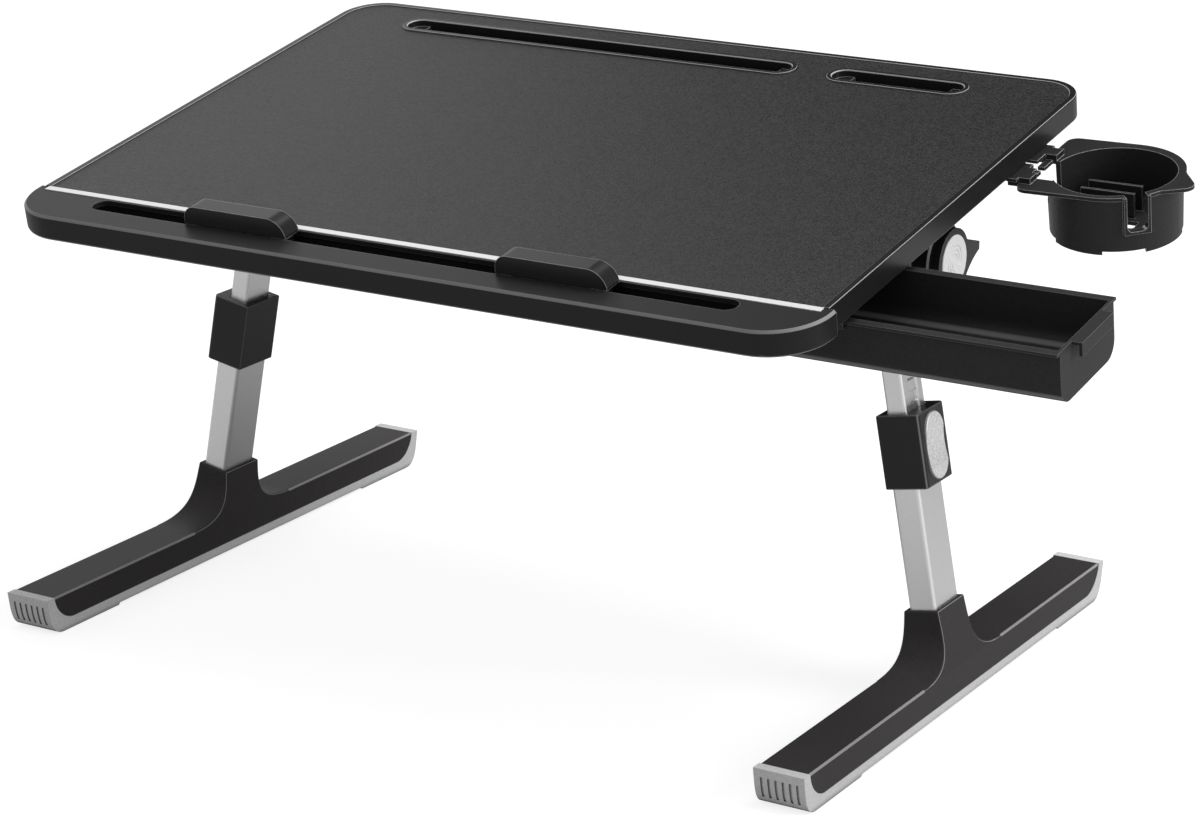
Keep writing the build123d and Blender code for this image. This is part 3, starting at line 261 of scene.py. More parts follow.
@dataclass(frozen=True)
class SharedEffects:
    """Builds the shader groups that the finishes place.

    Args:
        bevel_samples: Rays that round off a hard edge.
        edge_match: Match of rounded and true normals at a lit edge, and on a plain face.
        fillet_band: How diagonally a fillet faces where its painted highlight starts, and where it
            is full.
        cell_softness: How much the grain's cells flow together.
        grain_detail: Octaves of the sandy part of the grain.
        drift_detail: Octaves of the slow change of tone.
        patch_detail: Octaves of the rubbed patches.
        scratch_detail: Octaves of the scratches.
        scratch_roughness: How much the finer scratches weigh.
        scratch_turn: Direction of the scratches, in radians.
        scratch_stretch: Factor by which scratches narrow along each axis.
        scratch_band: Values of the noise between which a scratch fades in.
        brush_detail: Octaves of the drawing lines.
        brush_stretch: Factor by which drawing lines narrow along each axis.
    """

    bevel_samples: int = 6
    edge_match: tuple[float, float] = (0.86, 0.995)
    fillet_band: tuple[float, float] = (0.88, 0.99)
    cell_softness: float = 0.6
    grain_detail: float = 2.0
    drift_detail: float = 4.0
    patch_detail: float = 2.0
    scratch_detail: float = 6.0
    scratch_roughness: float = 0.7
    scratch_turn: Triple = (0.3, 0.5, 0.9)
    scratch_stretch: Triple = (1.0, 14.0, 5.0)
    scratch_band: tuple[float, float] = (0.55, 0.75)
    brush_detail: float = 3.0
    brush_stretch: Triple = (1.0, 1.0, 0.012)

    @staticmethod
    def start(name: GroupName, inputs: dict[str, tuple[str, object]],
              outputs: dict[str, str]) -> tuple[Graph, bpy.types.Node, bpy.types.Node]:
        """Make an empty group with named sockets.

        Args:
            name: Name of the group.
            inputs: Kind and default value of each input.
            outputs: Kind of each output.

        Returns:
            The group's graph, its input node and its output node.
        """
        tree = bpy.data.node_groups.new(name.value, "ShaderNodeTree")
        for label, (kind, default) in inputs.items():
            socket = tree.interface.new_socket(label, in_out="INPUT", socket_type=kind)
            if default is not None:
                socket.default_value = default
        for label, kind in outputs.items():
            tree.interface.new_socket(label, in_out="OUTPUT", socket_type=kind)
        graph = Graph(tree)
        return graph, graph.add("NodeGroupInput"), graph.add("NodeGroupOutput")

    def edges(self) -> None:
        """Rounded normals at hard edges, and a mask that is 1 on hard and on filleted edges."""
        graph, given, result = self.start(
            GroupName.EDGES,
            {
                "Radius": ("NodeSocketFloat", 0.0004),
                "Axes": ("NodeSocketVector", (1.0, 1.0, 1.0)),
            },
            {"Normal": "NodeSocketVector", "Mask": "NodeSocketFloat"},
        )
        bevel = graph.add("ShaderNodeBevel", samples=self.bevel_samples)
        graph.link(given.outputs["Radius"], bevel.inputs["Radius"])
        geometry = graph.add("ShaderNodeNewGeometry")
        match = graph.add("ShaderNodeVectorMath", operation="DOT_PRODUCT")
        graph.link(bevel.outputs["Normal"], match.inputs[0])
        graph.link(geometry.outputs["Normal"], match.inputs[1])
        graph.link(bevel.outputs["Normal"], result.inputs["Normal"])
        hard = graph.remap(match.outputs["Value"], 1.0, 0.0, *self.edge_match)
        diagonal = self.diagonal(graph, given.outputs["Axes"])
        filleted = graph.remap(diagonal, 0.0, 1.0, *self.fillet_band)
        graph.link(graph.math("MAXIMUM", hard, filleted), result.inputs["Mask"])

    @staticmethod
    def diagonal(graph: Graph, axes: Socket) -> Socket:
        """How diagonally a surface faces, which is most in the middle of a fillet.

        Args:
            graph: The group's graph.
            axes: Weight of each axis that the fillets turn away from.

        Returns:
            1 where the surface faces halfway between a weighted axis and its normal plane.
        """
        place = graph.add("ShaderNodeTexCoord")
        facing = graph.add("ShaderNodeSeparateXYZ")
        weights = graph.add("ShaderNodeSeparateXYZ")
        graph.link(place.outputs["Normal"], facing.inputs[0])
        graph.link(axes, weights.inputs[0])
        best: Socket | float = 0.0
        for axis in "XYZ":
            share = graph.math("MULTIPLY", facing.outputs[axis], facing.outputs[axis])
            product = graph.math("MULTIPLY", share, graph.math("SUBTRACT", 1.0, share))
            root = graph.math("SQRT", graph.math("MAXIMUM", product, 0.0))
            twice = graph.math("MULTIPLY", root, 2.0)
            best = graph.math("MAXIMUM", best, graph.math("MULTIPLY", twice, weights.outputs[axis]))
        return best

    def grain(self) -> None:
        """Fine grain of a mould, or of embossed leatherette, as a bumped normal."""
        graph, given, result = self.start(
            GroupName.GRAIN,
            {
                "Cells per metre": ("NodeSocketFloat", 1200.0),
                "Depth": ("NodeSocketFloat", 0.0001),
                "Creases": ("NodeSocketFloat", 0.5),
                "Normal": ("NodeSocketVector", None),
            },
            {"Normal": "NodeSocketVector", "Height": "NodeSocketFloat"},
        )
        place = graph.place()
        scale = given.outputs["Cells per metre"]
        cells = graph.add("ShaderNodeTexVoronoi", feature="SMOOTH_F1")
        graph.link(place, cells.inputs["Vector"])
        graph.link(scale, cells.inputs["Scale"])
        cells.inputs["Smoothness"].default_value = self.cell_softness
        blend = graph.add("ShaderNodeMix", data_type="FLOAT")
        graph.link(given.outputs["Creases"], blend.inputs["Factor"])
        graph.link(graph.noise(place, scale, self.grain_detail), blend.inputs["A"])
        graph.link(cells.outputs["Distance"], blend.inputs["B"])
        height = blend.outputs["Result"]
        bumped = graph.bump(given.outputs["Depth"], height, given.outputs["Normal"])
        graph.link(bumped, result.inputs["Normal"])
        graph.link(height, result.inputs["Height"])

    def drift(self) -> None:
        """Slow change of tone over a surface, a little lighter and darker than its colour."""
        graph, given, result = self.start(
            GroupName.DRIFT,
            {
                "Color": ("NodeSocketColor", (0.5, 0.5, 0.5, 1.0)),
                "Patches per metre": ("NodeSocketFloat", 14.0),
                "Amount": ("NodeSocketFloat", 0.08),
            },
            {"Color": "NodeSocketColor"},
        )
        patches = graph.noise(graph.place(), given.outputs["Patches per metre"], self.drift_detail)
        centred = graph.math("SUBTRACT", patches, 0.5)
        share = graph.math("MULTIPLY", centred, given.outputs["Amount"])
        factor = graph.math("ADD", graph.math("MULTIPLY", share, 2.0), 1.0)
        graph.link(graph.scaled(given.outputs["Color"], factor), result.inputs["Color"])

    def scuffs(self) -> None:
        """Faint long scratches and rubbed patches, as a mask for roughness."""
        graph, given, result = self.start(
            GroupName.SCUFFS,
            {"Scale": ("NodeSocketFloat", 30.0), "Coverage": ("NodeSocketFloat", 0.4)},
            {"Mask": "NodeSocketFloat"},
        )
        place = graph.place()
        scale = given.outputs["Scale"]
        along = graph.stretch(place, self.scratch_stretch, self.scratch_turn)
        lines = graph.noise(along, scale, self.scratch_detail, self.scratch_roughness)
        scratches = graph.remap(lines, 0.0, 1.0, *self.scratch_band)
        patches = graph.noise(place, scale, self.patch_detail)
        product = graph.math("MULTIPLY", scratches, patches)
        mask = graph.math("MULTIPLY", product, given.outputs["Coverage"])
        graph.link(mask, result.inputs["Mask"])

    def brush(self) -> None:
        """Drawing lines along a metal tube, as a bumped normal and a streak value."""
        graph, given, result = self.start(
            GroupName.BRUSH,
            {
                "Lean": ("NodeSocketVector", (0.0, 0.0, 0.0)),
                "Lines per metre": ("NodeSocketFloat", 2600.0),
                "Depth": ("NodeSocketFloat", 0.00003),
                "Normal": ("NodeSocketVector", None),
            },
            {"Normal": "NodeSocketVector", "Streaks": "NodeSocketFloat"},
        )
        turn = graph.add("ShaderNodeVectorRotate", rotation_type="EULER_XYZ")
        graph.link(graph.place(), turn.inputs["Vector"])
        graph.link(given.outputs["Lean"], turn.inputs["Rotation"])
        along = graph.stretch(turn.outputs["Vector"], self.brush_stretch)
        lines = graph.noise(along, given.outputs["Lines per metre"], self.brush_detail)
        bumped = graph.bump(given.outputs["Depth"], lines, given.outputs["Normal"])
        graph.link(bumped, result.inputs["Normal"])
        graph.link(lines, result.inputs["Streaks"])

    def speckle(self) -> None:
        """Fine light and dark flakes, as in flake paint or in a moulded grain seen up close."""
        graph, given, result = self.start(
            GroupName.SPECKLE,
            {
                "Color": ("NodeSocketColor", (0.5, 0.5, 0.5, 1.0)),
                "Flakes per metre": ("NodeSocketFloat", 1500.0),
                "Amount": ("NodeSocketFloat", 0.2),
            },
            {"Color": "NodeSocketColor"},
        )
        flakes = graph.add("ShaderNodeTexVoronoi", feature="F1")
        graph.link(graph.place(), flakes.inputs["Vector"])
        graph.link(given.outputs["Flakes per metre"], flakes.inputs["Scale"])
        tone = graph.add("ShaderNodeSeparateColor")
        graph.link(flakes.outputs["Color"], tone.inputs["Color"])
        centred = graph.math("SUBTRACT", tone.outputs["Red"], 0.5)
        share = graph.math("MULTIPLY", centred, given.outputs["Amount"])
        factor = graph.math("ADD", share, 1.0)
        graph.link(graph.scaled(given.outputs["Color"], factor), result.inputs["Color"])

    def build(self) -> None:
        """Make every shared group once."""
        self.edges()
        self.grain()
        self.drift()
        self.scuffs()
        self.brush()
        self.speckle()


@dataclass(frozen=True)
class Finish:
    """A surface finish.

    Args:
        name: Name of the material.
        colour: Base colour, in linear light.
        roughness: Roughness of the plain surface.
        specular: Specular level.
        metallic: 1 for metal.
        edge_radius: Radius that hard edges seem to have, in millimetres.
        cells: Grain cells per metre.
        depth: Depth of the grain, in millimetres.
        creases: 0 for sandy grain, 1 for pebbled leather.
        drift: Share by which the tone wanders.
        flakes: Flakes of lighter and darker tone per metre.
        speckle: Share by which the flakes differ.
        edge_highlight: Tone of the painted highlight line on hard and filleted edges, in linear
            light.
        scuff: How much scuffs add to the roughness.
        fillets: Weight of each axis that fillets with a painted highlight turn away from.
        crevice: Depth to which grooves are darkened with painted shade, in millimetres.
        crevice_rays: Rays that find how closed a groove is.
        crevice_band: How open a place is at the darkest tone, and at the full one.
        crevice_tone: Share of its colour that a groove keeps, and that an open place keeps.
        relief_roughness: What the lowest and the highest relief add to the roughness.
    """

    name: str
    colour: Triple
    roughness: float
    specular: float = 0.5
    metallic: float = 0.0
    edge_radius: float = 0.5
    cells: float = 1500.0
    depth: float = 0.05
    creases: float = 0.3
    drift: float = 0.06
    flakes: float = 1400.0
    speckle: float = 0.12
    edge_highlight: float = 0.05
    scuff: float = 0.12
    fillets: Triple = (1.0, 0.0, 0.0)
    crevice: float = 0.0
    crevice_rays: int = 6
    crevice_band: tuple[float, float] = (0.35, 0.9)
    crevice_tone: tuple[float, float] = (0.12, 1.0)
    relief_roughness: tuple[float, float] = (-0.02, 0.03)

    def normal(self, graph: Graph, edges: bpy.types.Node) -> tuple[Socket, Socket]:
        """Relief of the surface.

        Args:
            graph: The material's graph.
            edges: The placed edge group.

        Returns:
            The normal, and a value that follows the relief.
        """
        grain = graph.group(
            GroupName.GRAIN,
            Cells_per_metre=self.cells,
            Depth=self.depth * MILLIMETRE,
            Creases=self.creases,
            Normal=edges.outputs["Normal"],
        )
        return grain.outputs["Normal"], grain.outputs["Height"]

    def shaded(self, graph: Graph, tone: Socket) -> Socket:
        """Paint shade into narrow grooves, darker where they are more closed in.

        Args:
            graph: The material's graph.
            tone: Colour of the open surface.

        Returns:
            The colour with its grooves darkened.
        """
        if not self.crevice:
            return tone
        # Painted shade: ambient occlusion darkens the colour where a groove is closed in.
        closed = graph.add("ShaderNodeAmbientOcclusion", samples=self.crevice_rays)
        closed.inputs["Distance"].default_value = self.crevice * MILLIMETRE
        share = graph.remap(closed.outputs["AO"], *self.crevice_tone, *self.crevice_band)
        return graph.scaled(tone, share)

    def build(self) -> bpy.types.Material:
        """Make the material.

        Returns:
            The new material.
        """
        material = bpy.data.materials.new(self.name)
        material.use_nodes = True
        graph = Graph(material.node_tree)
        shader = material.node_tree.nodes["Principled BSDF"]
        edges = graph.group(
            GroupName.EDGES, Radius=self.edge_radius * MILLIMETRE, Axes=self.fillets
        )
        normal, relief = self.normal(graph, edges)
        drift = graph.group(GroupName.DRIFT, Color=(*self.colour, 1.0), Amount=self.drift)
        flakes = graph.group(
            GroupName.SPECKLE,
            Color=drift.outputs["Color"],
            Flakes_per_metre=self.flakes,
            Amount=self.speckle,
        )
        # Painted highlight: where the edge mask is 1, a light tone stands in for the surface
        # colour.
        lit = graph.add("ShaderNodeMix", data_type="RGBA")
        lit.inputs["B"].default_value = (self.edge_highlight, self.edge_highlight, self.edge_highlight, 1.0)
        graph.link(edges.outputs["Mask"], lit.inputs["Factor"])
        graph.link(flakes.outputs["Color"], lit.inputs["A"])
        graph.link(self.shaded(graph, lit.outputs["Result"]), shader.inputs["Base Color"])
        scuffs = graph.group(GroupName.SCUFFS)
        rubbed = graph.remap(scuffs.outputs["Mask"], self.roughness, self.roughness + self.scuff)
        varied = graph.math("ADD", rubbed, graph.remap(relief, *self.relief_roughness))
        graph.link(varied, shader.inputs["Roughness"])
        graph.link(normal, shader.inputs["Normal"])
        shader.inputs["Metallic"].default_value = self.metallic
        shader.inputs["Specular IOR Level"].default_value = self.specular
        material.diffuse_color = (*self.colour, 1.0)
        return material


@dataclass(frozen=True)
class DrawnMetal(Finish):
    """Metal whose drawing lines run along one leg.

    Args:
        lean: Angle of the leg from upright, in radians, positive when its top leans to +X.
    """

    lean: float = 0.0

    def normal(self, graph: Graph, edges: bpy.types.Node) -> tuple[Socket, Socket]:
        """Drawing lines in place of moulded grain.

        Args:
            graph: The material's graph.
            edges: The placed edge group.

        Returns:
            The normal, and the streak value.
        """
        brush = graph.group(
            GroupName.BRUSH,
            Lean=(0.0, -self.lean, 0.0),
            Depth=self.depth * MILLIMETRE,
            Normal=edges.outputs["Normal"],
        )
        return brush.outputs["Normal"], brush.outputs["Streaks"]


@dataclass(frozen=True)
class BrushedPlastic(Finish):
    """Plastic with fine lines brushed along X.

    Args:
        lines: Brushed lines per metre.
    """

    lines: float = 1500.0

    def normal(self, graph: Graph, edges: bpy.types.Node) -> tuple[Socket, Socket]:
        """Brushed lines in place of moulded grain.

        Args:
            graph: The material's graph.
            edges: The placed edge group.

        Returns:
            The normal, and the streak value.
        """
        brush = graph.group(
            GroupName.BRUSH,
            Lean=(0.0, QUARTER_TURN, 0.0),
            Lines_per_metre=self.lines,
            Depth=self.depth * MILLIMETRE,
            Normal=edges.outputs["Normal"],
        )
        return brush.outputs["Normal"], brush.outputs["Streaks"]


class Finishes:
    """Every finish of the table, built once, and the nodes that each covers."""

    leatherette = Finish(
        "charcoal_leatherette", (0.0145, 0.0146, 0.015), 0.43, specular=0.36, depth=0.34,
        drift=0.05, flakes=880.0, speckle=1.9, scuff=0.04, edge_radius=0.3,
    )
    brushed_black = BrushedPlastic(
        "brushed_black_plastic", (0.0205, 0.0192, 0.0196), 0.4, specular=0.17, depth=0.006,
        edge_radius=0.7, edge_highlight=0.3, speckle=0.2, scuff=0.06, fillets=(0.0, 0.0, 1.0),
    )
    satin_black = Finish(
        "satin_black_plastic", (0.012, 0.012, 0.0126), 0.36, specular=0.3, cells=1300.0,
        edge_radius=0.6, edge_highlight=0.16, speckle=0.3,
    )
    moulded_black = Finish(
        "moulded_black_plastic", (0.036, 0.0355, 0.036), 0.42, specular=0.1, cells=1100.0,
        edge_radius=0.7, edge_highlight=0.2, speckle=0.3, fillets=(1.0, 1.0, 1.0),
    )
    cup_black = Finish(
        "pebbled_black_plastic", (0.022, 0.022, 0.0224), 0.4, specular=0.26, cells=500.0,
        depth=0.14, creases=0.8, edge_radius=0.7, edge_highlight=0.6, speckle=0.3,
        fillets=(0.0, 0.0, 1.0),
    )
    foot_black = Finish(
        "warm_black_foot_plastic", (0.05, 0.046, 0.0474), 0.44, specular=0.08, cells=1100.0,
        edge_radius=0.7, edge_highlight=0.34, speckle=0.25,
    )
    collar_black = Finish(
        "smooth_black_collar_plastic", (0.006, 0.006, 0.0065), 0.3, specular=0.34, depth=0.03,
        edge_radius=1.6, edge_highlight=0.2, speckle=0.2, fillets=(1.0, 1.0, 1.0),
    )
    gloss_black = Finish(
        "semi_gloss_black_plastic", (0.017, 0.0165, 0.0168), 0.3, specular=0.26, cells=1300.0,
        depth=0.02, edge_radius=0.7, edge_highlight=0.55, speckle=0.2, fillets=(0.0, 0.0, 1.0),
    )
    stopper_black = Finish(
        "stopper_black_plastic", (0.019, 0.0184, 0.0188), 0.32, specular=0.3, cells=1300.0,
        depth=0.02, edge_radius=0.7, edge_highlight=0.6, speckle=0.2, fillets=(0.0, 1.0, 0.0),
    )
    board_lacquer = Finish(
        "dark_board_lacquer", (0.018, 0.018, 0.019), 0.34, specular=0.4, cells=700.0,
        depth=0.03, edge_radius=0.4, edge_highlight=0.04,
    )
    white_inlay = Finish(
        "white_inlay", (0.86, 0.86, 0.86), 0.35, depth=0.02, edge_radius=0.3, drift=0.02,
        speckle=0.02, edge_highlight=0.8,
    )
    silver_paint = Finish(
        "speckled_silver_paint", (0.74, 0.74, 0.745), 0.42, metallic=0.3, cells=1400.0,
        depth=0.04, creases=0.0, drift=0.05, flakes=1300.0, speckle=0.4, edge_highlight=0.8,
        edge_radius=0.6,
    )
    white_plastic = Finish(
        "white_cap_plastic", (0.84, 0.84, 0.835), 0.34, cells=1200.0, depth=0.03,
        edge_radius=0.4, drift=0.05, speckle=0.08, edge_highlight=0.9,
    )
    sole_rubber = Finish(
        "light_grey_sole_rubber", (0.74, 0.74, 0.743), 0.6, specular=0.3, cells=1200.0,
        depth=0.1, creases=0.2, flakes=1100.0, speckle=0.16, edge_radius=0.6, edge_highlight=0.7,
        crevice=5.0,
    )
    plated_steel = Finish(
        "plated_steel", (0.6, 0.6, 0.62), 0.26, metallic=1.0, cells=3000.0, depth=0.005,
        edge_radius=0.3, speckle=0.05, edge_highlight=0.7, fillets=(0.0, 0.0, 0.0),
    )
    black_steel = Finish(
        "blackened_steel", (0.03, 0.03, 0.032), 0.34, metallic=0.6, cells=3000.0, depth=0.01,
        edge_radius=0.3, edge_highlight=0.12, fillets=(0.0, 0.0, 0.0),
    )

    @staticmethod
    def tube(side: Side) -> DrawnMetal:
        """Satin anodised aluminium of one leg.

        Args:
            side: Leg whose lean the drawing lines follow.

        Returns:
            The finish of that leg's tubes.
        """
        return DrawnMetal(
            f"satin_aluminium_{side.word}", (0.74, 0.74, 0.745), 0.36, metallic=1.0, depth=0.02,
            drift=0.03, speckle=0.04, edge_highlight=0.8, scuff=0.08, edge_radius=1.2,
            lean=-side.value * LEG_LEAN,
        )

    def cover(self, nodes: dict[str, bpy.types.Object]) -> None:
        """Give every construction node its material.

        Args:
            nodes: The construction nodes by name.
        """
        for name, node in nodes.items():
            node.data.materials.clear()
            node.data.materials.append(self.material(self.choose(name)))
            for face in node.data.polygons:
                face.material_index = 0
        log.info("%d materials cover %d nodes", len(bpy.data.materials), len(nodes))

    @staticmethod
    def material(finish: Finish) -> bpy.types.Material:
        """Material of a finish, made when it is first asked for."""
        return bpy.data.materials.get(finish.name) or finish.build()

    def choose(self, name: str) -> Finish:
        """Finish of one construction node.

        Args:
            name: Name of the node.

        Returns:
            The finish that covers it.
        """
        side = Side.LEFT if name.endswith("_left") else Side.RIGHT
        base = name.removesuffix("_left").removesuffix("_right")
        if base in ("inner_tube", "outer_tube"):
            return self.tube(side)
        covered = (
            (self.leatherette, ("leather_mat",)),
            (self.board_lacquer, ("table_board",)),
            (self.brushed_black, ("front_strip",)),
            (self.foot_black, ("foot",)),
            (self.collar_black, ("collar",)),
            (self.white_inlay, ("inlay_strip",)),
            (self.gloss_black, ("long_slot_rim", "short_slot_rim", "edge_trim")),
            (self.stopper_black, ("stopper",)),
            (self.cup_black, ("cup_holder",)),
            (
                self.moulded_black,
                ("drawer", "channel_cover", "long_slot_pocket", "short_slot_pocket"),
            ),
            (self.silver_paint, ("latch_button",)),
            (self.white_plastic, ("hinge_cap",)),
            (self.sole_rubber, ("sole",)),
            (
                self.plated_steel,
                (
                    "fold_bolt", "fold_nut", "foot_screws",
                    "latch_pin", "latch_pawl", "latch_springs",
                ),
            ),
        )
        for finish, names in covered:
            if base in names:
                return finish
        return self.black_steel if base.endswith("screws") else self.satin_black


@dataclass(frozen=True)
class HingeDial:
    """White dial in the middle of one tilt lock, with two swirls of thin ridges on its face.

    Args:
        side: Leg that the dial belongs to.
        facets: Facets of the dial's rim.
        rim_slope: Width and height of the sloped rim round the face, in metres.
        swirl_offset: Distance of each swirl's centre from the dial's centre, in metres.
        swirl_turn: Direction of the first swirl's centre, in radians.
        ridge_radii: Radius of each ridge of a swirl, in metres.
        ridge_start: Angle at which a ridge starts, from the swirl's own direction, in radians.
        ridge_sweep: Angle that a ridge runs through, in radians.
        ridge_width: Half the width of a ridge, in metres.
        ridge_facets: Facets round a ridge.
        ridge_steps: Facets along a ridge.
        smooth_angle: Angle below which neighbouring faces shade as one, in radians.
    """

    side: Side
    facets: int = 96
    rim_slope: float = 0.0005
    swirl_offset: float = 0.0018
    swirl_turn: float = math.radians(115.0)
    ridge_radii: tuple[float, ...] = (0.004, 0.007, 0.01)
    ridge_start: float = math.radians(-10.0)
    ridge_sweep: float = math.radians(150.0)
    ridge_width: float = 0.0004
    ridge_facets: int = 8
    ridge_steps: int = 24
    smooth_angle: float = math.radians(35.0)

    def disc(self, centre: Vector, radius: float, depth: float) -> bpy.types.Object:
        """Round plate with a sloped rim on its outer face.

        Args:
            centre: Middle of the plate.
            radius: Its radius, in metres.
            depth: Its thickness, in metres.

        Returns:
            The plate, with its place in its mesh.
        """
        sign = self.side.value
        bpy.ops.mesh.primitive_cylinder_add(
            vertices=self.facets, radius=radius, depth=depth - self.rim_slope,
            location=centre - Vector((sign * self.rim_slope / 2, 0.0, 0.0)),
            rotation=(0.0, QUARTER_TURN, 0.0),
        )
        plate = bpy.context.object
        bpy.ops.object.transform_apply(location=True, rotation=True, scale=True)
        bpy.ops.object.mode_set(mode="EDIT")
        bpy.ops.mesh.select_mode(type="FACE")
        bpy.ops.mesh.select_all(action="DESELECT")
        bpy.ops.object.mode_set(mode="OBJECT")
        for face in plate.data.polygons:
            face.select = face.normal.x * sign > FACES_SAME_WAY
        bpy.ops.object.mode_set(mode="EDIT")
        bpy.ops.mesh.inset(thickness=self.rim_slope)
        bpy.ops.transform.translate(value=(sign * self.rim_slope, 0.0, 0.0))
        return plate

    def ridge(self, middle: Vector, radius: float, start: float) -> None:
        """Spin one thin ridge in the plate that is being edited.

        Args:
            middle: Centre of the ridge's arc, on the dial's face.
            radius: Radius of the arc, in metres.
            start: Angle at which it starts, in radians.
        """
        outward = Vector((0.0, math.cos(start), math.sin(start)))
        along = Vector((0.0, -math.sin(start), math.cos(start)))
        bpy.ops.mesh.primitive_circle_add(
            vertices=self.ridge_facets, radius=self.ridge_width, fill_type="NGON",
            location=middle + outward * radius, rotation=along.to_track_quat("Z", "X").to_euler(),
        )
        bpy.ops.mesh.spin(
            steps=self.ridge_steps, angle=self.ridge_sweep, center=middle, axis=(1.0, 0.0, 0.0)
        )

    def build(self, finishes: Finishes) -> None:
        """Make the dial, dress it and set it on its tilt drum.

        Args:
            finishes: The table's finishes.
        """
        node = f"hinge_cap_{self.side.word}"
        low, high = (Vector(corner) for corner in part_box(node))
        bpy.ops.object.select_all(action="DESELECT")
        plate = self.disc((low + high) / 2, (high.z - low.z) / 2, high.x - low.x)
        face_x = high.x if self.side is Side.RIGHT else low.x
        for half_turn in (0.0, math.pi):
            turn = self.swirl_turn + half_turn
            middle = Vector((face_x, 0.0, (low.z + high.z) / 2))
            middle += Vector((0.0, math.cos(turn), math.sin(turn))) * self.swirl_offset
            for radius in self.ridge_radii:
                self.ridge(middle, radius, turn + self.ridge_start)
        bpy.ops.mesh.select_all(action="SELECT")
        bpy.ops.mesh.normals_make_consistent(inside=False)
        bpy.ops.object.mode_set(mode="OBJECT")
        bpy.ops.object.shade_smooth_by_angle(angle=self.smooth_angle)
        plate.name = f"hinge_dial_{self.side.word}"
        plate.data.materials.append(finishes.material(finishes.white_plastic))
        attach(plate, f"{self.side.word}_tilt_drum")
        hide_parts(node)
        log.info("%s: %d ridges", plate.name, 2 * len(self.ridge_radii))


@dataclass(frozen=True)
class LatchCoils:
    """The two coil springs behind one latch button.

    Args:
        side: Leg that the springs belong to.
        coil_radius: Outer radius of a coil, in metres.
        wire_radius: Radius of its wire, in metres.
        wire_facets: Facets round the wire.
        spread: Distance of each spring from the leg's middle plane, in metres.
        turns: Turns of a coil.
        steps: Facets of a turn.
        press: Way that the button travels, in metres. Not used.
        smooth_angle: Angle below which neighbouring faces shade as one, in radians.
    """

    side: Side
    coil_radius: float = 0.0024
    wire_radius: float = 0.0003
    wire_facets: int = 8
    spread: float = 0.0065
    turns: int = 4
    steps: int = 20
    press: float = 0.002
    smooth_angle: float = math.radians(50.0)

    @property
    def outward(self) -> Vector:
        """Direction from a spring's fixed end to the button."""
        return Vector((self.side.value * math.cos(LEG_LEAN), 0.0, math.sin(LEG_LEAN)))

    def coil(self, foot: Vector, length: float) -> bpy.types.Object:
        """Wind one spring.

        Args:
            foot: Middle of its fixed end.
            length: Its length at rest, in metres.

        Returns:
            The spring, with its place in its mesh.
        """
        bpy.ops.object.select_all(action="DESELECT")
        bpy.ops.mesh.primitive_circle_add(
            vertices=self.wire_facets, radius=self.wire_radius, rotation=(QUARTER_TURN, 0.0, 0.0),
            location=(self.coil_radius - self.wire_radius, 0.0, self.wire_radius),
        )
        spring = bpy.context.object
        bpy.ops.object.transform_apply(location=True, rotation=True, scale=True)
        screw = spring.modifiers.new("winding", "SCREW")
        screw.angle = self.turns * math.tau
        screw.screw_offset = length - 2 * self.wire_radius
        screw.steps = screw.render_steps = self.turns * self.steps
        bpy.ops.object.modifier_apply(modifier="winding")
        bpy.ops.object.mode_set(mode="EDIT")
        bpy.ops.mesh.select_all(action="SELECT")
        bpy.ops.mesh.fill_holes(sides=0)
        bpy.ops.mesh.select_all(action="SELECT")
        bpy.ops.mesh.normals_make_consistent(inside=False)
        bpy.ops.object.mode_set(mode="OBJECT")
        bpy.ops.object.shade_smooth_by_angle(angle=self.smooth_angle)
        spring.rotation_euler = self.outward.to_track_quat("Z", "Y").to_euler()
        spring.location = foot
        bpy.ops.object.transform_apply(location=True, rotation=True, scale=True)
        return spring

    def build(self, finishes: Finishes) -> None:
        """Make both springs, dress them and set them in their collar.

        Args:
            finishes: The table's finishes.
        """
        node = f"latch_springs_{self.side.word}"
        low, high = (Vector(corner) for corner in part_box(node))
        middle = (low + high) / 2
        across = 2 * self.coil_radius * self.outward.z
        length = (high.x - low.x - across) / abs(self.outward.x)
        foot = middle - self.outward * (length / 2)
        aside = Vector((0.0, self.spread, 0.0))
        coils = [self.coil(place, length) for place in (foot - aside, foot + aside)]
        bpy.ops.object.select_all(action="DESELECT")
        for coil in coils:
            coil.select_set(True)
        bpy.context.view_layer.objects.active = coils[0]
        bpy.ops.object.join()
        pair = coils[0]
        pair.name = f"latch_coils_{self.side.word}"
        pair.data.materials.append(finishes.material(finishes.plated_steel))
        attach(pair, f"{self.side.word}_lower_leg")
        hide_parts(node)
        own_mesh(pair)
        log.info("%s: %d turns each, %.1f mm long", pair.name, self.turns, length / MILLIMETRE)


@dataclass(frozen=True)
class SoftBox:
    """One soft box lamp that faces the table.

    Args:
        name: Name of the lamp.
        place: Where it hangs, in metres.
        size: Its width and height, in metres.
        power: Its power, in watts.
        aim: The point that it faces, in metres.
    """

    name: str
    place: Triple
    size: tuple[float, float]
    power: float
    aim: Triple = (0.0, 0.0, 0.2)

    def build(self) -> None:
        """Hang the lamp."""
        bpy.ops.object.light_add(type="AREA", location=self.place)
        lamp = bpy.context.object
        lamp.name = self.name
        lamp.data.shape = "RECTANGLE"
        lamp.data.size, lamp.data.size_y = self.size
        lamp.data.energy = self.power
        toward = Vector(self.aim) - Vector(self.place)
        lamp.rotation_euler = toward.to_track_quat("-Z", "Y").to_euler()


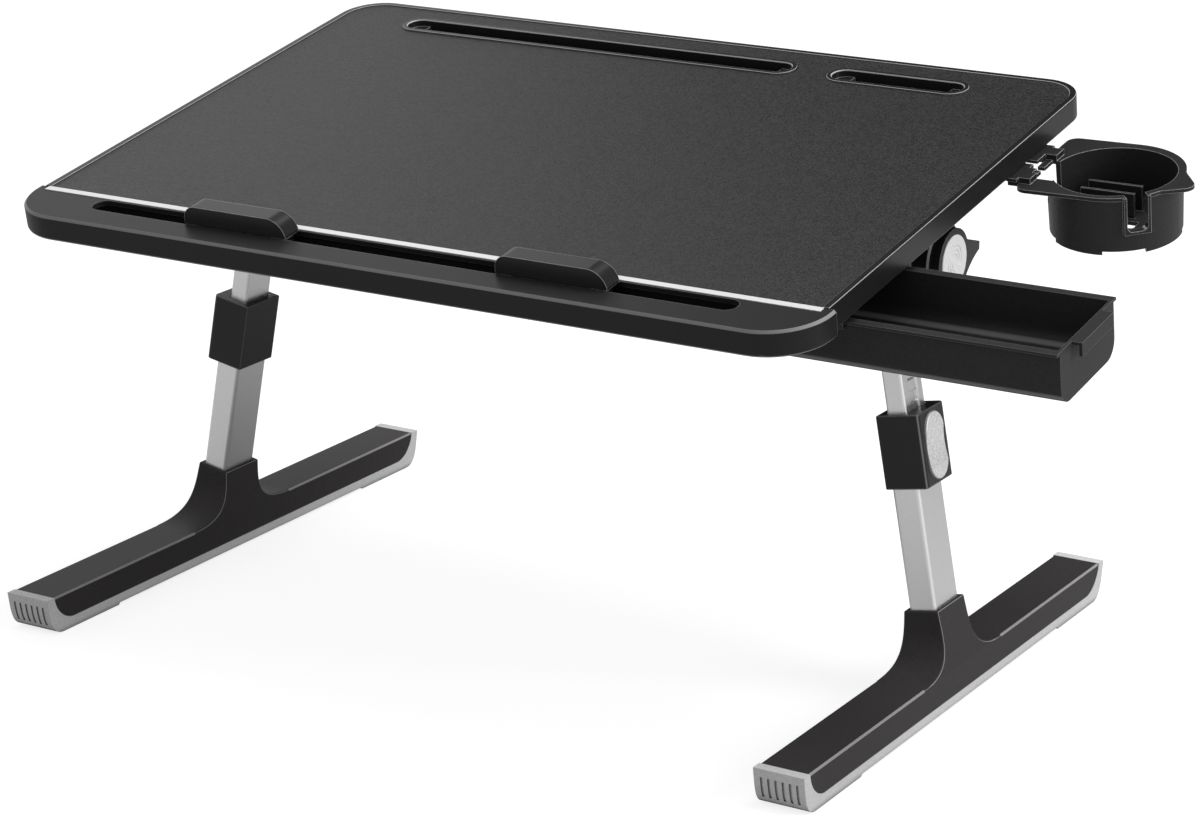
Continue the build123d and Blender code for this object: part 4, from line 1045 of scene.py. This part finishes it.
@dataclass(frozen=True)
class Card:
    """One cloth-covered card beside the set, which only reflections show.

    Args:
        name: Name of the card.
        place: Its middle, in metres.
        size: Its width and height, in metres.
        turn: Its rotation, in radians.
        tone: How light its cloth is, in linear light.
    """

    name: str
    place: Triple
    size: tuple[float, float]
    turn: Triple
    tone: float

    def build(self) -> None:
        """Set up the card."""
        bpy.ops.mesh.primitive_plane_add(size=1.0, location=self.place, rotation=self.turn)
        card = bpy.context.object
        card.name = self.name
        card.scale = (*self.size, 1.0)
        for kind in ("camera", "diffuse", "shadow", "transmission"):
            setattr(card, f"visible_{kind}", False)
        material = bpy.data.materials.new(f"{self.name}_cloth")
        material.use_nodes = True
        shader = material.node_tree.nodes["Principled BSDF"]
        shader.inputs["Base Color"].default_value = (self.tone, self.tone, self.tone, 1.0)
        shader.inputs["Roughness"].default_value = 1.0
        shader.inputs["Specular IOR Level"].default_value = 0.0
        card.data.materials.append(material)


@dataclass(frozen=True)
class Studio:
    """Floor, light and camera.

    Args:
        camera_place: Where the camera stands, in metres.
        camera_target: The point in the middle of its view.
        lens: Focal length, in millimetres.
        sensor_width: Width of the camera's sensor, in millimetres.
        fill: Strength of the world's even light.
        floor_size: Width of the floor, in metres.
        floor_drop: How far the floor lies below the soles, in metres.
        floor_tone: How light the floor is, in linear light.
        floor_roughness: Roughness of the floor.
        floor_glow: Glow that lifts the floor to white in the picture.
        mirrored_share: Share of that glow that reflections show.
        lamps: The soft boxes.
        cards: The cards.
    """

    camera_place: Vector = Vector((1.1985, -1.9284, 0.8598))
    camera_target: Vector = Vector((0.0293, 0.0052, 0.1556))
    lens: float = 102.87
    sensor_width: float = 36.0
    fill: float = 0.45
    floor_size: float = 12.0
    floor_drop: float = 0.0002
    floor_tone: float = 0.45
    floor_roughness: float = 0.9
    floor_glow: float = 0.8
    mirrored_share: float = 1 / 3
    lamps: tuple[SoftBox, ...] = (
        SoftBox("key_box", (0.6, 0.5, 2.8), (1.8, 1.4), 36.0),
        SoftBox("right_box", (2.4, 0.3, 1.2), (1.2, 1.0), 22.0),
    )
    cards: tuple[Card, ...] = (
        Card("rear_card", (1.1, 2.5, 2.3), (5.6, 5.2), (QUARTER_TURN, 0.0, 0.0), 0.012),
        # Seen only in reflections, this card is a painted reflection of the shaded floor under the
        # table.
        Card("floor_shade_card", (-0.135, 0.15, 0.0008), (0.27, 0.9), (0.0, 0.0, 0.0), 0.42),
    )

    def camera(self) -> None:
        """Place the camera at the photograph's angle."""
        bpy.ops.object.camera_add(location=self.camera_place)
        camera = bpy.context.object
        camera.name = "studio_camera"
        toward = self.camera_target - self.camera_place
        camera.rotation_euler = toward.to_track_quat("-Z", "Y").to_euler()
        camera.data.lens = self.lens
        camera.data.sensor_width = self.sensor_width
        camera.data.sensor_fit = "HORIZONTAL"
        bpy.context.scene.camera = camera

    def floor(self) -> None:
        """Pale floor that looks white to the camera and keeps a faint shadow."""
        bpy.ops.mesh.primitive_plane_add(
            size=self.floor_size, location=(0.0, 0.0, -self.floor_drop)
        )
        floor = bpy.context.object
        floor.name = "studio_floor"
        material = bpy.data.materials.new("pale_floor")
        material.use_nodes = True
        graph = Graph(material.node_tree)
        shader = material.node_tree.nodes["Principled BSDF"]
        tone = self.floor_tone
        shader.inputs["Base Color"].default_value = (tone, tone, tone, 1.0)
        shader.inputs["Roughness"].default_value = self.floor_roughness
        shader.inputs["Specular IOR Level"].default_value = 0.0
        path = graph.add("ShaderNodeLightPath")
        seen = graph.math("MULTIPLY", path.outputs["Is Camera Ray"], self.floor_glow)
        mirrored = graph.math(
            "MAXIMUM", path.outputs["Is Glossy Ray"], path.outputs["Is Transmission Ray"]
        )
        mirrored_glow = graph.math("MULTIPLY", mirrored, self.floor_glow * self.mirrored_share)
        shader.inputs["Emission Color"].default_value = (1.0, 1.0, 1.0, 1.0)
        glow = graph.math("MAXIMUM", seen, mirrored_glow)
        graph.link(glow, shader.inputs["Emission Strength"])
        floor.data.materials.append(material)

    def world(self) -> None:
        """Even studio fill, with a white background."""
        world = bpy.data.worlds.new("studio_world")
        bpy.context.scene.world = world
        world.use_nodes = True
        graph = Graph(world.node_tree)
        background = world.node_tree.nodes["Background"]
        background.inputs["Color"].default_value = (1.0, 1.0, 1.0, 1.0)
        path = graph.add("ShaderNodeLightPath")
        seen = graph.math("MAXIMUM", path.outputs["Is Camera Ray"], path.outputs["Is Glossy Ray"])
        seen = graph.math("MAXIMUM", seen, path.outputs["Is Transmission Ray"])
        graph.link(graph.remap(seen, self.fill, 1.0), background.inputs["Strength"])

    def build(self) -> None:
        """Set the whole studio."""
        bpy.context.scene.view_settings.view_transform = "Standard"
        self.world()
        self.floor()
        for piece in (*self.lamps, *self.cards):
            piece.build()
        self.camera()
        log.info("studio is set")


def main() -> None:
    """Build the table's looks in order."""
    logging.basicConfig(level=logging.INFO, format="%(name)s: %(message)s")
    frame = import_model()
    bpy.ops.object.select_all(action="DESELECT")
    SharedEffects().build()
    finishes = Finishes()
    finishes.cover(frame["nodes"])
    for side in Side:
        HingeDial(side).build(finishes)
        LatchCoils(side).build(finishes)
    Studio().build()


if __name__ == "__main__":
    main()
